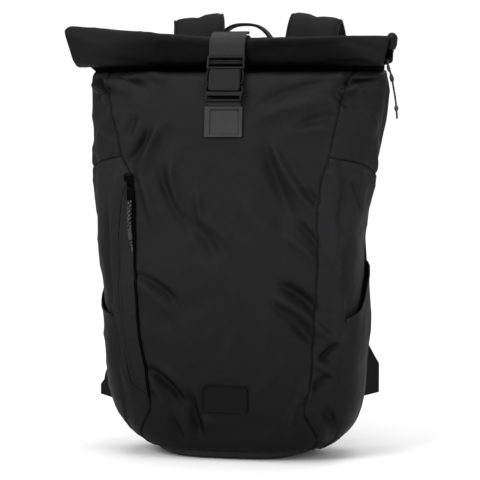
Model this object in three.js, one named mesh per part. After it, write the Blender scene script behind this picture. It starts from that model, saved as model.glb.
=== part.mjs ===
// Rolltop backpack of thin dark nylon. It stands on its base with the top rolled down and buckled.
// Millimetres. +X is the bag's side on the right of someone who faces its front, +Y its back, +Z up.
// The origin is the middle of the flat underside of the base.

import * as THREE from 'three';

// Driving sizes of the body. The folds fade out between the two heights of FOLDS_FADE, shares of
// BODY_HEIGHT.
const BODY_HEIGHT = 413;
const BODY_WIDTH = 304;
const BODY_DEPTH = 128;
const CLOTH = 1.8;
const BASE_CLOTH = 2.4;
const BACK_PAD = 9;
const SEAM_GAP = 0.3;
const PLATE_LIFT = 0.8;
const BASE_SEAM = 9;
const FOLDS_FADE = [0.965, 0.99];

// Driving sizes of the rolled top
const ROLL_LENGTH = 350;
const ROLL_HEIGHT = 36;
const ROLL_DEPTH = 41;
const ROLL_SHEET = 3.2;
const ROLL_GAP = 1;
const ROLL_TURNS = 2.4;
const ROLL_CORNER = 2.5;

// Driving sizes of the side pockets and of the zip flap. A pocket is fullest towards the back, by
// POCKET_SKEW, and its rim is drawn in by POCKET_DRAWN, a share of its fullness.
const POCKET_CLOTH = 1.5;
const POCKET_FULLNESS = 5.2;
const POCKET_MARGIN = 7;
const POCKET_POWER = 0.8;
const POCKET_SKEW = 1.5;
const POCKET_DRAWN = 0.3;
const FLAP_WIDTH = 20;
const FLAP_CLOTH = 1.6;
const PULL_SETBACK = 1.5;
const GARAGE_WIDTH = 10;
const GARAGE_HEIGHT = 9;
const GARAGE_THICK = 3.6;
const SLIDER_WIDTH = 5;
const SLIDER_HEIGHT = 7;
const SLIDER_THICK = 3;
const PULL_WIDTH = 5;
const PULL_LENGTH = 13;
const PULL_THICK = 1.2;
const SLIDER_DROP = 1;

// Driving sizes of the closure strap and its buckle. The strap lies on the roof behind the roll at the
// heights in STRAP_ROOF, shares of BODY_HEIGHT, and then on the roll between STRAP_START and STRAP_END, in
// degrees from the roll's back. Its tail lies on it between TAIL_START and TAIL_END. BUCKLE_ROOM lies between
// the webbing at the buckle's foot and the skin. The patch starts PATCH_DROP below the buckle.
const WEBBING_WIDTH = 38;
const WEBBING = 1.5;
const STRAP_X = -2.5;
const STRAP_ROOF = [0.95, 0.965, 0.978];
const STRAP_START = 32;
const STRAP_END = 180;
const TAIL_START = 166;
const TAIL_END = 84;
const LADDER_WIDTH = 41;
const LADDER_HEIGHT = 14.5;
const LADDER_THICK = 4;
const LADDER_BAR = 2.6;
const LADDER_SLOT = 2.4;
const LADDER_DROP = 3;
const LADDER_CORNER = 1.6;
const SLOT_SIDE = 2.5;
const BUCKLE_HEIGHT = 24;
const BUCKLE_THICK = 8;
const BUCKLE_CORNER = 2.5;
const PRONG_WIDTH = 3;
const PRONG_LENGTH = 16;
const PRONG_CORNER = 0.8;
const SOCKET_WIDTH = 39;
const SOCKET_HEIGHT = 11;
const SOCKET_THICK = 5;
const SOCKET_SLOT = 3.4;
const SOCKET_BAR = 2.6;
const BUCKLE_ROOM = 2.35;
const LOOP_WIDTH = 34;
const PATCH_X = -3.5;
const PATCH_WIDTH = 41;
const PATCH_HEIGHT = 32;
const PATCH_DROP = 4.8;
const PATCH_THICK = 2;
const LABEL_X = 1;
const LABEL_WIDTH = 49;
const LABEL_HEIGHT = 28;
const LABEL_LOW = 53;
const LABEL_THICK = 1.6;

// Driving sizes of the carrying parts
const SHOULDER_WIDTH = 58;
const SHOULDER_THICK = 9;
const SHOULDER_ROUND = 3.2;
const SHOULDER_SHIFT = 3;
const HANDLE_SPAN = 74;
const HANDLE_WIDTH = 20;
const HANDLE_THICK = 3;
const HANDLE_TOP = 465;
const HANDLE_Y = 40;
const HANDLE_SIDE_POWER = 0.75;
const HANDLE_TOP_POWER = 0.9;
const TRIM_WIDTH = 25;
const TRIM_THICK = 1.6;
const LOCK_WIDTH = 32;
const LOCK_HEIGHT = 14;
const LOCK_THICK = 4;
const LOCK_BAR = 2.4;
const LOCK_MIDDLE = 2.8;
const LOCK_CORNER = 1.5;
const WING_THICK = 3;

// The tip of each wing lies at its reach, a share of BODY_WIDTH, and back from the body by its lean, a
// share of BODY_DEPTH. The webbing is sewn to it between the two heights of TRIM_UP, shares of BODY_HEIGHT.
const WING_REACH = { left: 0.567, right: 0.472 };
const WING_LEAN = { left: 0.02, right: 0.11 };
const WING_UP = 0.14;
const TRIM_UP = { left: [0.123, 0.17], right: [0.147, 0.2] };
const TRIM_INSET = 4;

// Driving sizes of the zip end on the roll and of the two pull cords
const ZIP_END_WIDTH = 6;
const ZIP_END_HEIGHT = 18.5;
const ZIP_END_DEPTH = 15;
const ZIP_END_RISE = 11;
const ROLL_SLIDER_WIDTH = 4.5;
const ROLL_SLIDER_DEPTH = 5;
const ROLL_SLIDER_HEIGHT = 9;
const ROLL_SLIDER_TUCK = 0.6;
const FRONT_CORD = 3.6;
const FRONT_TAIL = 2;
const SLEEVE_WIDTH = 4.8;
const ROLL_CORD = 2.6;
const ROLL_KNOT_WIDTH = 4.8;
const BEAD_WIDTH = 4.6;

// Level sections of the body, from the underside to the collar. up is a share of BODY_HEIGHT, left and
// right of BODY_WIDTH, front, back and shift of BODY_DEPTH, and corner is the superellipse's exponent.
const BODY_SECTIONS = [
  { up: 0.0, left: 0.217, right: 0.204, front: 0.298, back: 0.283, shift: 0, corner: 2.6 },
  { up: 0.0073, left: 0.25, right: 0.24, front: 0.369, back: 0.345, shift: 0, corner: 2.7 },
  { up: 0.022, left: 0.293, right: 0.296, front: 0.431, back: 0.392, shift: 0, corner: 2.9 },
  { up: 0.053, left: 0.355, right: 0.37, front: 0.474, back: 0.423, shift: 0, corner: 3.1 },
  { up: 0.104, left: 0.411, right: 0.42, front: 0.494, back: 0.439, shift: 0, corner: 3.3 },
  { up: 0.162, left: 0.438, right: 0.438, front: 0.501, back: 0.447, shift: 0, corner: 3.5 },
  { up: 0.252, left: 0.452, right: 0.441, front: 0.501, back: 0.447, shift: 0, corner: 3.5 },
  { up: 0.334, left: 0.46, right: 0.448, front: 0.501, back: 0.447, shift: 0, corner: 3.5 },
  { up: 0.446, left: 0.478, right: 0.446, front: 0.494, back: 0.447, shift: 0, corner: 3.5 },
  { up: 0.54, left: 0.498, right: 0.448, front: 0.486, back: 0.447, shift: 0, corner: 3.5 },
  { up: 0.656, left: 0.5, right: 0.468, front: 0.47, back: 0.447, shift: 0, corner: 3.5 },
  { up: 0.78, left: 0.507, right: 0.496, front: 0.436, back: 0.447, shift: 0, corner: 3.5 },
  { up: 0.875, left: 0.519, right: 0.524, front: 0.403, back: 0.435, shift: 0, corner: 3.5 },
  { up: 0.925, left: 0.524, right: 0.534, front: 0.386, back: 0.408, shift: 0, corner: 3.4 },
  { up: 0.957, left: 0.525, right: 0.537, front: 0.362, back: 0.3375, shift: -0.008, corner: 3.3 },
  { up: 0.979, left: 0.523, right: 0.536, front: 0.33, back: 0.22, shift: -0.018, corner: 3.2 },
  { up: 0.99, left: 0.52, right: 0.533, front: 0.275, back: 0.095, shift: -0.027, corner: 3.1 },
  { up: 1.0, left: 0.516, right: 0.529, front: 0, back: 0, shift: -0.031, corner: 3 },
];

// Half of the gap between the collar's two walls and their cloth, so that the rolled sheet sits on them
const COLLAR_HALF = ROLL_SHEET / 2 + SEAM_GAP + CLOTH;

// Where the front panel's side seams run. up is a share of BODY_HEIGHT, left and right of BODY_WIDTH.
const FRONT_SEAMS = [
  { up: 0.0, left: -0.18, right: 0.17 },
  { up: 0.022, left: -0.278, right: 0.276 },
  { up: 0.058, left: -0.316, right: 0.317 },
  { up: 0.138, left: -0.272, right: 0.277 },
  { up: 0.216, left: -0.283, right: 0.302 },
  { up: 0.33, left: -0.312, right: 0.308 },
  { up: 0.51, left: -0.327, right: 0.322 },
  { up: 0.62, left: -0.329, right: 0.319 },
  { up: 0.72, left: -0.341, right: 0.333 },
  { up: 0.78, left: -0.383, right: 0.356 },
  { up: 0.867, left: -0.414, right: 0.381 },
  { up: 0.93, left: -0.432, right: 0.397 },
  { up: 1.0, left: -0.446, right: 0.428 },
];

// Where the back panel's side seams run
const BACK_SEAMS = [
  { up: 0.0, left: -0.16, right: 0.155 },
  { up: 0.022, left: -0.25, right: 0.25 },
  { up: 0.075, left: -0.32, right: 0.32 },
  { up: 0.15, left: -0.345, right: 0.345 },
  { up: 0.62, left: -0.36, right: 0.36 },
  { up: 0.9, left: -0.41, right: 0.41 },
  { up: 1.0, left: -0.43, right: 0.43 },
];

// The seam across each side panel and the rim of each side pocket. across runs from the front seam to the
// back seam, up is a share of BODY_HEIGHT.
const GUSSET_SEAM = [
  { across: 0, up: 0.779 },
  { across: 0.25, up: 0.764 },
  { across: 0.5, up: 0.735 },
  { across: 0.75, up: 0.7 },
  { across: 1, up: 0.685 },
];
const POCKET_RIM = [
  { across: 0, up: 0.35 },
  { across: 0.28, up: 0.372 },
  { across: 0.5, up: 0.41 },
  { across: 0.7, up: 0.47 },
  { across: 1, up: 0.515 },
];

// Reach of the zip flap from the front panel's left seam, as a share of FLAP_WIDTH
const FLAP_EDGE = [
  { up: 0.172, reach: 0.12 },
  { up: 0.2, reach: 0.86 },
  { up: 0.28, reach: 1 },
  { up: 0.49, reach: 0.97 },
  { up: 0.66, reach: 0.68 },
  { up: 0.71, reach: 0.3 },
];

// Main folds of the front and the sides. across is a share of BODY_WIDTH on the front and of BODY_DEPTH
// on a side, up and length are shares of BODY_HEIGHT, breadth of BODY_WIDTH, and rise of BODY_DEPTH: a
// ridge stands out, a furrow has a minus. tilt is the fold's angle from level, in degrees.
const FOLDS = [
  { face: 'front', across: 0.232, up: 0.72, length: 0.2, breadth: 0.03, tilt: -54, rise: 0.04 },
  { face: 'front', across: 0.18, up: 0.705, length: 0.19, breadth: 0.04, tilt: -62, rise: -0.045 },
  { face: 'front', across: -0.27, up: 0.795, length: 0.11, breadth: 0.03, tilt: 67, rise: 0.035 },
  { face: 'front', across: -0.325, up: 0.81, length: 0.11, breadth: 0.03, tilt: 58, rise: -0.045 },
  { face: 'front', across: -0.185, up: 0.68, length: 0.2, breadth: 0.03, tilt: -64, rise: -0.035 },
  { face: 'front', across: -0.235, up: 0.67, length: 0.18, breadth: 0.035, tilt: -68, rise: 0.025 },
  { face: 'front', across: -0.08, up: 0.58, length: 0.14, breadth: 0.035, tilt: -45, rise: -0.035 },
  { face: 'front', across: -0.02, up: 0.6, length: 0.14, breadth: 0.035, tilt: -42, rise: 0.025 },
  { face: 'front', across: 0.28, up: 0.59, length: 0.1, breadth: 0.03, tilt: -48, rise: -0.035 },
  { face: 'front', across: 0.25, up: 0.545, length: 0.12, breadth: 0.035, tilt: -42, rise: 0.03 },
  { face: 'front', across: 0.262, up: 0.432, length: 0.12, breadth: 0.03, tilt: -38, rise: -0.045 },
  { face: 'front', across: 0.25, up: 0.385, length: 0.13, breadth: 0.035, tilt: -33, rise: 0.035 },
  { face: 'front', across: -0.25, up: 0.45, length: 0.13, breadth: 0.03, tilt: -31, rise: -0.04 },
  { face: 'front', across: -0.215, up: 0.4, length: 0.12, breadth: 0.035, tilt: -42, rise: 0.035 },
  { face: 'front', across: -0.21, up: 0.19, length: 0.14, breadth: 0.03, tilt: -42, rise: -0.035 },
  { face: 'front', across: -0.12, up: 0.115, length: 0.12, breadth: 0.03, tilt: -77, rise: -0.03 },
  { face: 'front', across: 0.25, up: 0.14, length: 0.12, breadth: 0.035, tilt: 63, rise: 0.035 },
  { face: 'front', across: 0.25, up: 0.9, length: 0.2, breadth: 0.03, tilt: 12, rise: 0.02 },
  { face: 'front', across: 0.25, up: 0.94, length: 0.18, breadth: 0.02, tilt: 18, rise: -0.025 },
  { face: 'front', across: -0.33, up: 0.955, length: 0.16, breadth: 0.025, tilt: -18, rise: -0.035 },
  { face: 'right', across: 0.02, up: 0.66, length: 0.12, breadth: 0.03, tilt: 75, rise: 0.035 },
  { face: 'right', across: -0.15, up: 0.9, length: 0.1, breadth: 0.03, tilt: -50, rise: -0.05 },
  { face: 'left', across: -0.1, up: 0.92, length: 0.1, breadth: 0.03, tilt: 40, rise: -0.05 },
  { face: 'left', across: -0.05, up: 0.58, length: 0.22, breadth: 0.025, tilt: 84, rise: -0.025 },
];

// Sections along the roll. along is a share of ROLL_LENGTH, height and lift of ROLL_HEIGHT, depth of
// ROLL_DEPTH, and lean is how far the section's top lies outside its foot, as a share of ROLL_HEIGHT.
const ROLL_SECTIONS = [
  { along: -0.494, height: 1.24, depth: 0.66, lift: 0, lean: -0.34 },
  { along: -0.455, height: 1.22, depth: 0.8, lift: 0, lean: -0.24 },
  { along: -0.38, height: 1.14, depth: 0.94, lift: 0, lean: -0.09 },
  { along: -0.27, height: 1.05, depth: 1, lift: 0, lean: 0 },
  { along: -0.13, height: 1, depth: 1, lift: 0, lean: 0 },
  { along: -0.007, height: 0.97, depth: 0.97, lift: 0, lean: 0 },
  { along: 0.12, height: 0.98, depth: 1, lift: 0, lean: 0 },
  { along: 0.27, height: 1, depth: 1, lift: 0, lean: 0 },
  { along: 0.39, height: 1, depth: 0.95, lift: 0, lean: 0.1 },
  { along: 0.455, height: 0.98, depth: 0.84, lift: 0.02, lean: 0.22 },
];

// Middle line of a shoulder strap from its sewn end to its ladder lock. out is a share of BODY_WIDTH from
// the middle, away a share of BODY_DEPTH behind the back's face, up a share of BODY_HEIGHT, wide a share of
// SHOULDER_WIDTH, and tilt is how far the outer edge drops, in degrees.
const SHOULDER_LINE = [
  { out: 0.165, away: 0, up: 0.83, wide: 1, tilt: 0 },
  { out: 0.172, away: 0, up: 0.885, wide: 1, tilt: 0 },
  { out: 0.185, away: 0.015, up: 0.955, wide: 1, tilt: 2 },
  { out: 0.2, away: 0.05, up: 1.04, wide: 1, tilt: 5 },
  { out: 0.213, away: 0.115, up: 1.115, wide: 1, tilt: 9 },
  { out: 0.22, away: 0.2, up: 1.14, wide: 1, tilt: 9 },
  { out: 0.226, away: 0.29, up: 1.11, wide: 1, tilt: 8 },
  { out: 0.236, away: 0.35, up: 1.03, wide: 1, tilt: 5 },
  { out: 0.258, away: 0.37, up: 0.89, wide: 1, tilt: 0 },
  { out: 0.283, away: 0.34, up: 0.73, wide: 0.98, tilt: 0 },
  { out: 0.31, away: 0.28, up: 0.56, wide: 0.93, tilt: 0 },
  { out: 0.332, away: 0.225, up: 0.42, wide: 0.86, tilt: 0 },
  { out: 0.338, away: 0.2, up: 0.36, wide: 0.8, tilt: 0 },
];

// Lowest and highest share of BODY_HEIGHT at which each wing is sewn to the back seam, and at its tip
const WING_ROOT = { left: [0.075, 0.36], right: [0.12, 0.4] };
const WING_TIP = { left: [0.118, 0.146], right: [0.142, 0.22] };

// Chosen points of the two pull cords, from where each leaves its pull
const FRONT_CORD_POINTS = [
  [-103.6, -63.6, 275.1],
  [-103.9, -64.2, 268],
  [-104, -64.8, 260],
  [-103.9, -65.2, 252],
  [-103.5, -65.4, 246],
  [-103.2, -65.5, 243],
];
const FRONT_TAIL_POINTS = [
  [-101.9, -65.8, 232.7],
  [-101.2, -65.9, 229.5],
  [-100.6, -66, 226],
  [-100.1, -66, 221.5],
];
const ROLL_CORD_POINTS = [
  [165, -21.4, 424.1],
  [165.1, -21.6, 418.5],
  [166, -20.8, 413.6],
  [167.6, -19.2, 409.8],
];
const ROLL_LINE_POINTS = [
  [169.7, -17.2, 399.2],
  [171, -16.5, 391.5],
  [172.2, -16, 384],
  [173.1, -15.8, 377],
];
const ROLL_TAIL_POINTS = [
  [173.7, -15.4, 369.2],
  [174, -15.1, 365.5],
  [174.1, -15, 362],
];

// Grid counts. Panels that meet at a seam share their rows there, so that their edges run alike.
const SECTION_STEPS = 288;
const LOWER_ROWS = 19;
const UPPER_ROWS = 9;
const POCKET_ROWS = 11;
const WING_ROWS = 10;
const FLAP_FIRST_ROW = 6;
const FLAP_LAST_ROW = 17;
const FRONT_COLUMNS = 21;
const BACK_COLUMNS = 9;
const SIDE_COLUMNS = [0, 0.1, 0.19, 0.27, 0.36, 0.5, 0.64, 0.73, 0.81, 0.9, 1];
const TURN_STEPS = 12;

const group = new THREE.Group();

function addMesh(name, geometry, material, parent = group) {
  const mesh = new THREE.Mesh(geometry, material);
  mesh.name = name;
  parent.add(mesh);
  return mesh;
}

function finish(color, roughness, metalness = 0) {
  return new THREE.MeshStandardMaterial({ color, roughness, metalness });
}

const lerp = (a, b, share) => a + (b - a) * share;

// A smooth curve through a table's column that never swings past its neighbours: each slope is the harmonic
// mean of the two steps beside it, or none where they change sign.
function smoothColumn(table, key, column) {
  const xs = table.map((row, index) => (key === null ? index : row[key]));
  const ys = table.map((row) => row[column]);
  const steps = xs.slice(1).map((x, i) => (ys[i + 1] - ys[i]) / (x - xs[i]));
  const slopes = xs.map((_, i) => {
    const before = steps[Math.max(i - 1, 0)];
    const after = steps[Math.min(i, steps.length - 1)];
    return before * after > 0 ? (2 * before * after) / (before + after) : 0;
  });
  return (x) => {
    const last = xs.length - 2;
    let i = 0;
    while (i < last && x > xs[i + 1]) i += 1;
    const width = xs[i + 1] - xs[i];
    const u = THREE.MathUtils.clamp((x - xs[i]) / width, 0, 1);
    const rise = u * u * (3 - 2 * u);
    const bend = (u * (1 - u) * (1 - u)) * slopes[i] - (u * u * (1 - u)) * slopes[i + 1];
    return lerp(ys[i], ys[i + 1], rise) + bend * width;
  };
}

const bodyColumns = ['up', 'left', 'right', 'front', 'back', 'shift', 'corner'];
const bodyCurves = Object.fromEntries(bodyColumns.map((c) => [c, smoothColumn(BODY_SECTIONS, null, c)]));
const LAST_LEVEL = BODY_SECTIONS.length - 1;

// A level runs from 0 at the underside to LAST_LEVEL at the collar.
function levelSection(level) {
  const share = (name) => bodyCurves[name](level);
  return {
    z: BODY_HEIGHT * share('up'),
    left: BODY_WIDTH * share('left'),
    right: BODY_WIDTH * share('right'),
    front: BODY_DEPTH * share('front') + COLLAR_HALF,
    back: BODY_DEPTH * share('back') + COLLAR_HALF,
    middle: BODY_DEPTH * share('shift'),
    corner: share('corner'),
  };
}

const signedPower = (value, power) => Math.sign(value) * Math.abs(value) ** power;

// Height of a fold's profile at a point of one face, from 0 outside the fold to 1 on its crest
function foldHeight(fold, across, up) {
  const angle = THREE.MathUtils.degToRad(fold.tilt);
  const wide = fold.face === 'front' ? BODY_WIDTH : BODY_DEPTH;
  const dx = across - fold.across * wide;
  const dz = up - fold.up * BODY_HEIGHT;
  const along = dx * Math.cos(angle) + dz * Math.sin(angle);
  const beside = dz * Math.cos(angle) - dx * Math.sin(angle);
  const reach = (fold.length * BODY_HEIGHT) / 2;
  const breadth = fold.breadth * BODY_WIDTH;
  return Math.exp(-((along / reach) ** 4) - (beside / breadth) ** 2);
}

function foldRise(x, y, z, normal) {
  let rise = 0;
  for (const fold of FOLDS) {
    const facing = { front: -normal.y, right: normal.x, left: -normal.x }[fold.face];
    if (facing > 0) {
      const across = fold.face === 'front' ? x : y;
      rise += facing * facing * fold.rise * BODY_DEPTH * foldHeight(fold, across, z);
    }
  }
  return rise;
}

// One level of the body as a ring of points from the middle of the back over the left side, the front and
// the right side, with the length run so far. The plain section is a superellipse, and the folds push it
// out.
const ringStore = new Map();
function levelRing(level) {
  if (ringStore.has(level)) return ringStore.get(level);
  const section = levelSection(level);
  const ring = [];
  let run = 0;
  for (let i = 0; i <= SECTION_STEPS; i += 1) {
    const angle = Math.PI / 2 + (2 * Math.PI * i) / SECTION_STEPS;
    const wide = Math.cos(angle) < 0 ? section.left : section.right;
    const deep = Math.sin(angle) < 0 ? section.front : section.back;
    const across = signedPower(Math.cos(angle), 2 / section.corner);
    const away = signedPower(Math.sin(angle), 2 / section.corner);
    const point = new THREE.Vector3(wide * across, section.middle + deep * away, section.z);
    const power = section.corner - 1;
    const normal = new THREE.Vector3(signedPower(across, power) / wide, signedPower(away, power) / deep, 0);
    normal.normalize();
    if (i > 0) run += point.distanceTo(ring[i - 1].plain);
    const [fadeLow, fadeHigh] = FOLDS_FADE.map((up) => up * BODY_HEIGHT);
    const fade = THREE.MathUtils.smoothstep(section.z, BASE_SEAM, 4 * BASE_SEAM)
      * (1 - THREE.MathUtils.smoothstep(section.z, fadeLow, fadeHigh));
    const rise = fade * foldRise(point.x, point.y, point.z, normal);
    ring.push({ plain: point, point: point.clone().addScaledVector(normal, rise), run });
  }
  ringStore.set(level, ring);
  return ring;
}

// A run is the length along a level's ring from the middle of the back.
function ringPoint(level, run) {
  const ring = levelRing(level);
  const length = ring[SECTION_STEPS].run;
  const wanted = ((run % length) + length) % length;
  let low = 0;
  let high = SECTION_STEPS;
  while (high - low > 1) {
    const middle = (low + high) >> 1;
    if (ring[middle].run <= wanted) low = middle;
    else high = middle;
  }
  const share = (wanted - ring[low].run) / (ring[high].run - ring[low].run);
  return ring[low].point.clone().lerp(ring[high].point, share);
}

// The run at which a level's front or back half has a given x
function runAtX(level, x, onFront) {
  const ring = levelRing(level);
  const half = SECTION_STEPS / 2;
  const quarter = SECTION_STEPS / 4;
  const spans = onFront ? [[quarter, half + quarter]] : [[0, quarter], [half + quarter, SECTION_STEPS]];
  for (const [first, last] of spans) {
    for (let i = first; i < last; i += 1) {
      const a = ring[i].plain.x;
      const b = ring[i + 1].plain.x;
      if ((a - x) * (b - x) <= 0 && a !== b) return lerp(ring[i].run, ring[i + 1].run, (x - a) / (b - a));
    }
  }
  throw new Error(`no point at x ${x} on level ${level}`);
}

// The level at a given height
function levelAt(z) {
  let low = 0;
  let high = LAST_LEVEL;
  for (let i = 0; i < 40; i += 1) {
    const middle = (low + high) / 2;
    if (levelSection(middle).z < z) low = middle;
    else high = middle;
  }
  return (low + high) / 2;
}

// A point on the body's skin, pushed out by lift along the surface's own normal
function skinPoint(level, run, lift) {
  const point = ringPoint(level, run);
  if (lift === 0) return point;
  const step = 0.04;
  const above = Math.min(level + step, LAST_LEVEL);
  const below = Math.max(level - step, 0);
  const share = run / levelRing(level)[SECTION_STEPS].run;
  const runAbove = share * levelRing(above)[SECTION_STEPS].run;
  const runBelow = share * levelRing(below)[SECTION_STEPS].run;
  const upward = ringPoint(above, runAbove).sub(ringPoint(below, runBelow));
  const around = ringPoint(level, run + 1).sub(ringPoint(level, run - 1));
  const normal = around.cross(upward).normalize();
  return point.addScaledVector(normal, lift);
}

// A closed slab between two equal grids: outer[row][column] faces out and inner lies behind it.
function slab(outer, inner) {
  const rows = outer.length;
  const columns = outer[0].length;
  const points = [...outer.flat(), ...inner.flat()];
  const faces = [];
  const at = (side, row, column) => (side * rows + row) * columns + column;
  const quad = (a, b, c, d) => faces.push(a, b, c, a, c, d);
  for (let r = 0; r < rows - 1; r += 1) {
    for (let c = 0; c < columns - 1; c += 1) {
      quad(at(0, r, c), at(0, r, c + 1), at(0, r + 1, c + 1), at(0, r + 1, c));
      quad(at(1, r, c), at(1, r + 1, c), at(1, r + 1, c + 1), at(1, r, c + 1));
    }
    quad(at(0, r + 1, 0), at(1, r + 1, 0), at(1, r, 0), at(0, r, 0));
    const end = columns - 1;
    quad(at(1, r, end), at(1, r + 1, end), at(0, r + 1, end), at(0, r, end));
  }
  for (let c = 0; c < columns - 1; c += 1) {
    quad(at(1, 0, c), at(1, 0, c + 1), at(0, 0, c + 1), at(0, 0, c));
    quad(at(0, rows - 1, c + 1), at(1, rows - 1, c + 1), at(1, rows - 1, c), at(0, rows - 1, c));
  }
  return facesGeometry(points, faces);
}

function facesGeometry(points, faces) {
  const geometry = new THREE.BufferGeometry();
  const places = new Float32Array(points.flatMap((p) => [p.x, p.y, p.z]));
  geometry.setAttribute('position', new THREE.BufferAttribute(places, 3));
  geometry.setIndex(faces);
  geometry.computeVertexNormals();
  return geometry;
}

// A closed solid from a row of rings. Each ring runs anticlockwise seen from the row's far end.
function ringSolid(rings) {
  const count = rings[0].length;
  const centre = (ring) => ring.reduce((sum, p) => sum.add(p), new THREE.Vector3()).divideScalar(count);
  const points = [...rings.flat(), centre(rings[0]), centre(rings[rings.length - 1])];
  const first = points.length - 2;
  const last = points.length - 1;
  const faces = [];
  const at = (ring, k) => ring * count + (k % count);
  for (let k = 0; k < count; k += 1) {
    for (let ring = 0; ring < rings.length - 1; ring += 1) {
      faces.push(at(ring, k), at(ring, k + 1), at(ring + 1, k + 1));
      faces.push(at(ring, k), at(ring + 1, k + 1), at(ring + 1, k));
    }
    faces.push(first, at(0, k + 1), at(0, k));
    faces.push(last, at(rings.length - 1, k), at(rings.length - 1, k + 1));
  }
  return facesGeometry(points, faces);
}

// A sheet on the skin. shares lists its columns from 0 to 1, or works them out at a level. level gives the
// level of a row at a share, from and to give the run at a level, and near and far give how far the two
// faces stand off the skin at a share across and a share up.
function skinSheet({ rows, shares, level, from, to, near, far }) {
  const counted = typeof shares === 'function' ? shares : () => shares;
  const columns = counted(0).length;
  const faces = [far, near].map((lift) => Array.from({ length: rows }, (_, r) => (
    Array.from({ length: columns }, (__, c) => {
      const here = level(r, counted(level(r, counted(0)[c]))[c]);
      const across = counted(here)[c];
      return skinPoint(here, lerp(from(here), to(here), across), lift(across, r / (rows - 1)));
    }))));
  return slab(faces[0], faces[1]);
}

const evenShares = (count) => Array.from({ length: count }, (_, k) => k / (count - 1));

// A plate that follows the skin of the front between two x and two heights
function frontPlate(x0, x1, z0, z1, thick, rows, columns) {
  return skinSheet({
    rows,
    shares: evenShares(columns),
    level: (r) => levelAt(lerp(z0, z1, r / (rows - 1))),
    from: (level) => runAtX(level, x0, true),
    to: (level) => runAtX(level, x1, true),
    near: () => PLATE_LIFT,
    far: () => PLATE_LIFT + thick,
  });
}

// A strip with a rectangular section along a row of places, each with its middle and its across direction
function strip(places, width, thick) {
  const rings = places.map((place, i) => {
    const before = places[Math.max(i - 1, 0)].middle;
    const after = places[Math.min(i + 1, places.length - 1)].middle;
    const ahead = after.clone().sub(before).normalize();
    const across = place.across.clone().addScaledVector(ahead, -place.across.dot(ahead)).normalize();
    const outward = ahead.clone().cross(across);
    const corner = (a, b) => place.middle.clone()
      .addScaledVector(across, (a * width) / 2).addScaledVector(outward, (b * thick) / 2);
    return [corner(1, -1), corner(1, 1), corner(-1, 1), corner(-1, -1)];
  });
  return ringSolid(rings);
}

// A padded strap: the same with a section whose long edges are rounded
function paddedStrap(places, thick, round) {
  const rings = places.map((place, i) => {
    const before = places[Math.max(i - 1, 0)].middle;
    const after = places[Math.min(i + 1, places.length - 1)].middle;
    const ahead = after.clone().sub(before).normalize();
    const across = place.across.clone().addScaledVector(ahead, -place.across.dot(ahead)).normalize();
    const outward = ahead.clone().cross(across);
    const a = place.width / 2;
    const b = thick / 2;
    const outline = [[a, round - b], [a, b - round], [a - round, b], [round - a, b],
      [-a, b - round], [-a, round - b], [round - a, -b], [a - round, -b]];
    return outline.map(([u, v]) => place.middle.clone()
      .addScaledVector(across, u).addScaledVector(outward, v));
  });
  return ringSolid(rings);
}

// A round tube along chosen points, made of a regular section carried along a smooth curve
function cordTube(points, diameter) {
  const curve = new THREE.CatmullRomCurve3(points.map((p) => new THREE.Vector3(...p)));
  const section = new THREE.Shape();
  const sides = 8;
  for (let i = 0; i < sides; i += 1) {
    const angle = (2 * Math.PI * i) / sides;
    const x = (diameter / 2) * Math.cos(angle);
    const y = (diameter / 2) * Math.sin(angle);
    if (i === 0) section.moveTo(x, y);
    else section.lineTo(x, y);
  }
  section.closePath();
  const steps = Math.max(3, Math.round(curve.getLength() / (2.5 * diameter)));
  return new THREE.ExtrudeGeometry(section, { steps, extrudePath: curve, bevelEnabled: false });
}

// A rounded rectangle with slots, as a plate that faces the front: x across, z up, thick along y
function slottedPlate(width, low, high, thick, corner, slots) {
  const shape = new THREE.Shape();
  const half = width / 2;
  shape.moveTo(-half + corner, low);
  shape.lineTo(half - corner, low);
  shape.lineTo(half, low + corner);
  shape.lineTo(half, high - corner);
  shape.lineTo(half - corner, high);
  shape.lineTo(-half + corner, high);
  shape.lineTo(-half, high - corner);
  shape.lineTo(-half, low + corner);
  shape.closePath();
  for (const slot of slots) {
    const hole = new THREE.Path();
    hole.moveTo(-slot.width / 2, slot.low);
    hole.lineTo(-slot.width / 2, slot.high);
    hole.lineTo(slot.width / 2, slot.high);
    hole.lineTo(slot.width / 2, slot.low);
    hole.closePath();
    shape.holes.push(hole);
  }
  const geometry = new THREE.ExtrudeGeometry(shape, { depth: thick, bevelEnabled: false });
  geometry.translate(0, 0, -thick / 2);
  geometry.rotateX(Math.PI / 2);
  return geometry;
}

// Finishes
const shell = finish(0x303236, 0.55);
const shellSide = finish(0x2e3034, 0.55);
const padCloth = finish(0x2b2d30, 0.8);
const webbing = finish(0x3d3e41, 0.8);
const plastic = finish(0x2e2f31, 0.4);
const patchRubber = finish(0x4a4a4c, 0.5);
const zipBlack = finish(0x161719, 0.4);
const cordGrey = finish(0x75777a, 0.85);

// Body panels
const seamCurve = {
  frontLeft: smoothColumn(FRONT_SEAMS, 'up', 'left'),
  frontRight: smoothColumn(FRONT_SEAMS, 'up', 'right'),
  backLeft: smoothColumn(BACK_SEAMS, 'up', 'left'),
  backRight: smoothColumn(BACK_SEAMS, 'up', 'right'),
};
const upShare = (level) => bodyCurves.up(level);
const ringLength = (level) => levelRing(level)[SECTION_STEPS].run;
function seamRun(name, level) {
  return runAtX(level, BODY_WIDTH * seamCurve[name](upShare(level)), name.startsWith('front'));
}
const gusset = smoothColumn(GUSSET_SEAM, 'across', 'up');
const rim = smoothColumn(POCKET_RIM, 'across', 'up');
const halfGap = SEAM_GAP / 2;
const baseLevel = levelAt(BASE_SEAM + halfGap);

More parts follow.
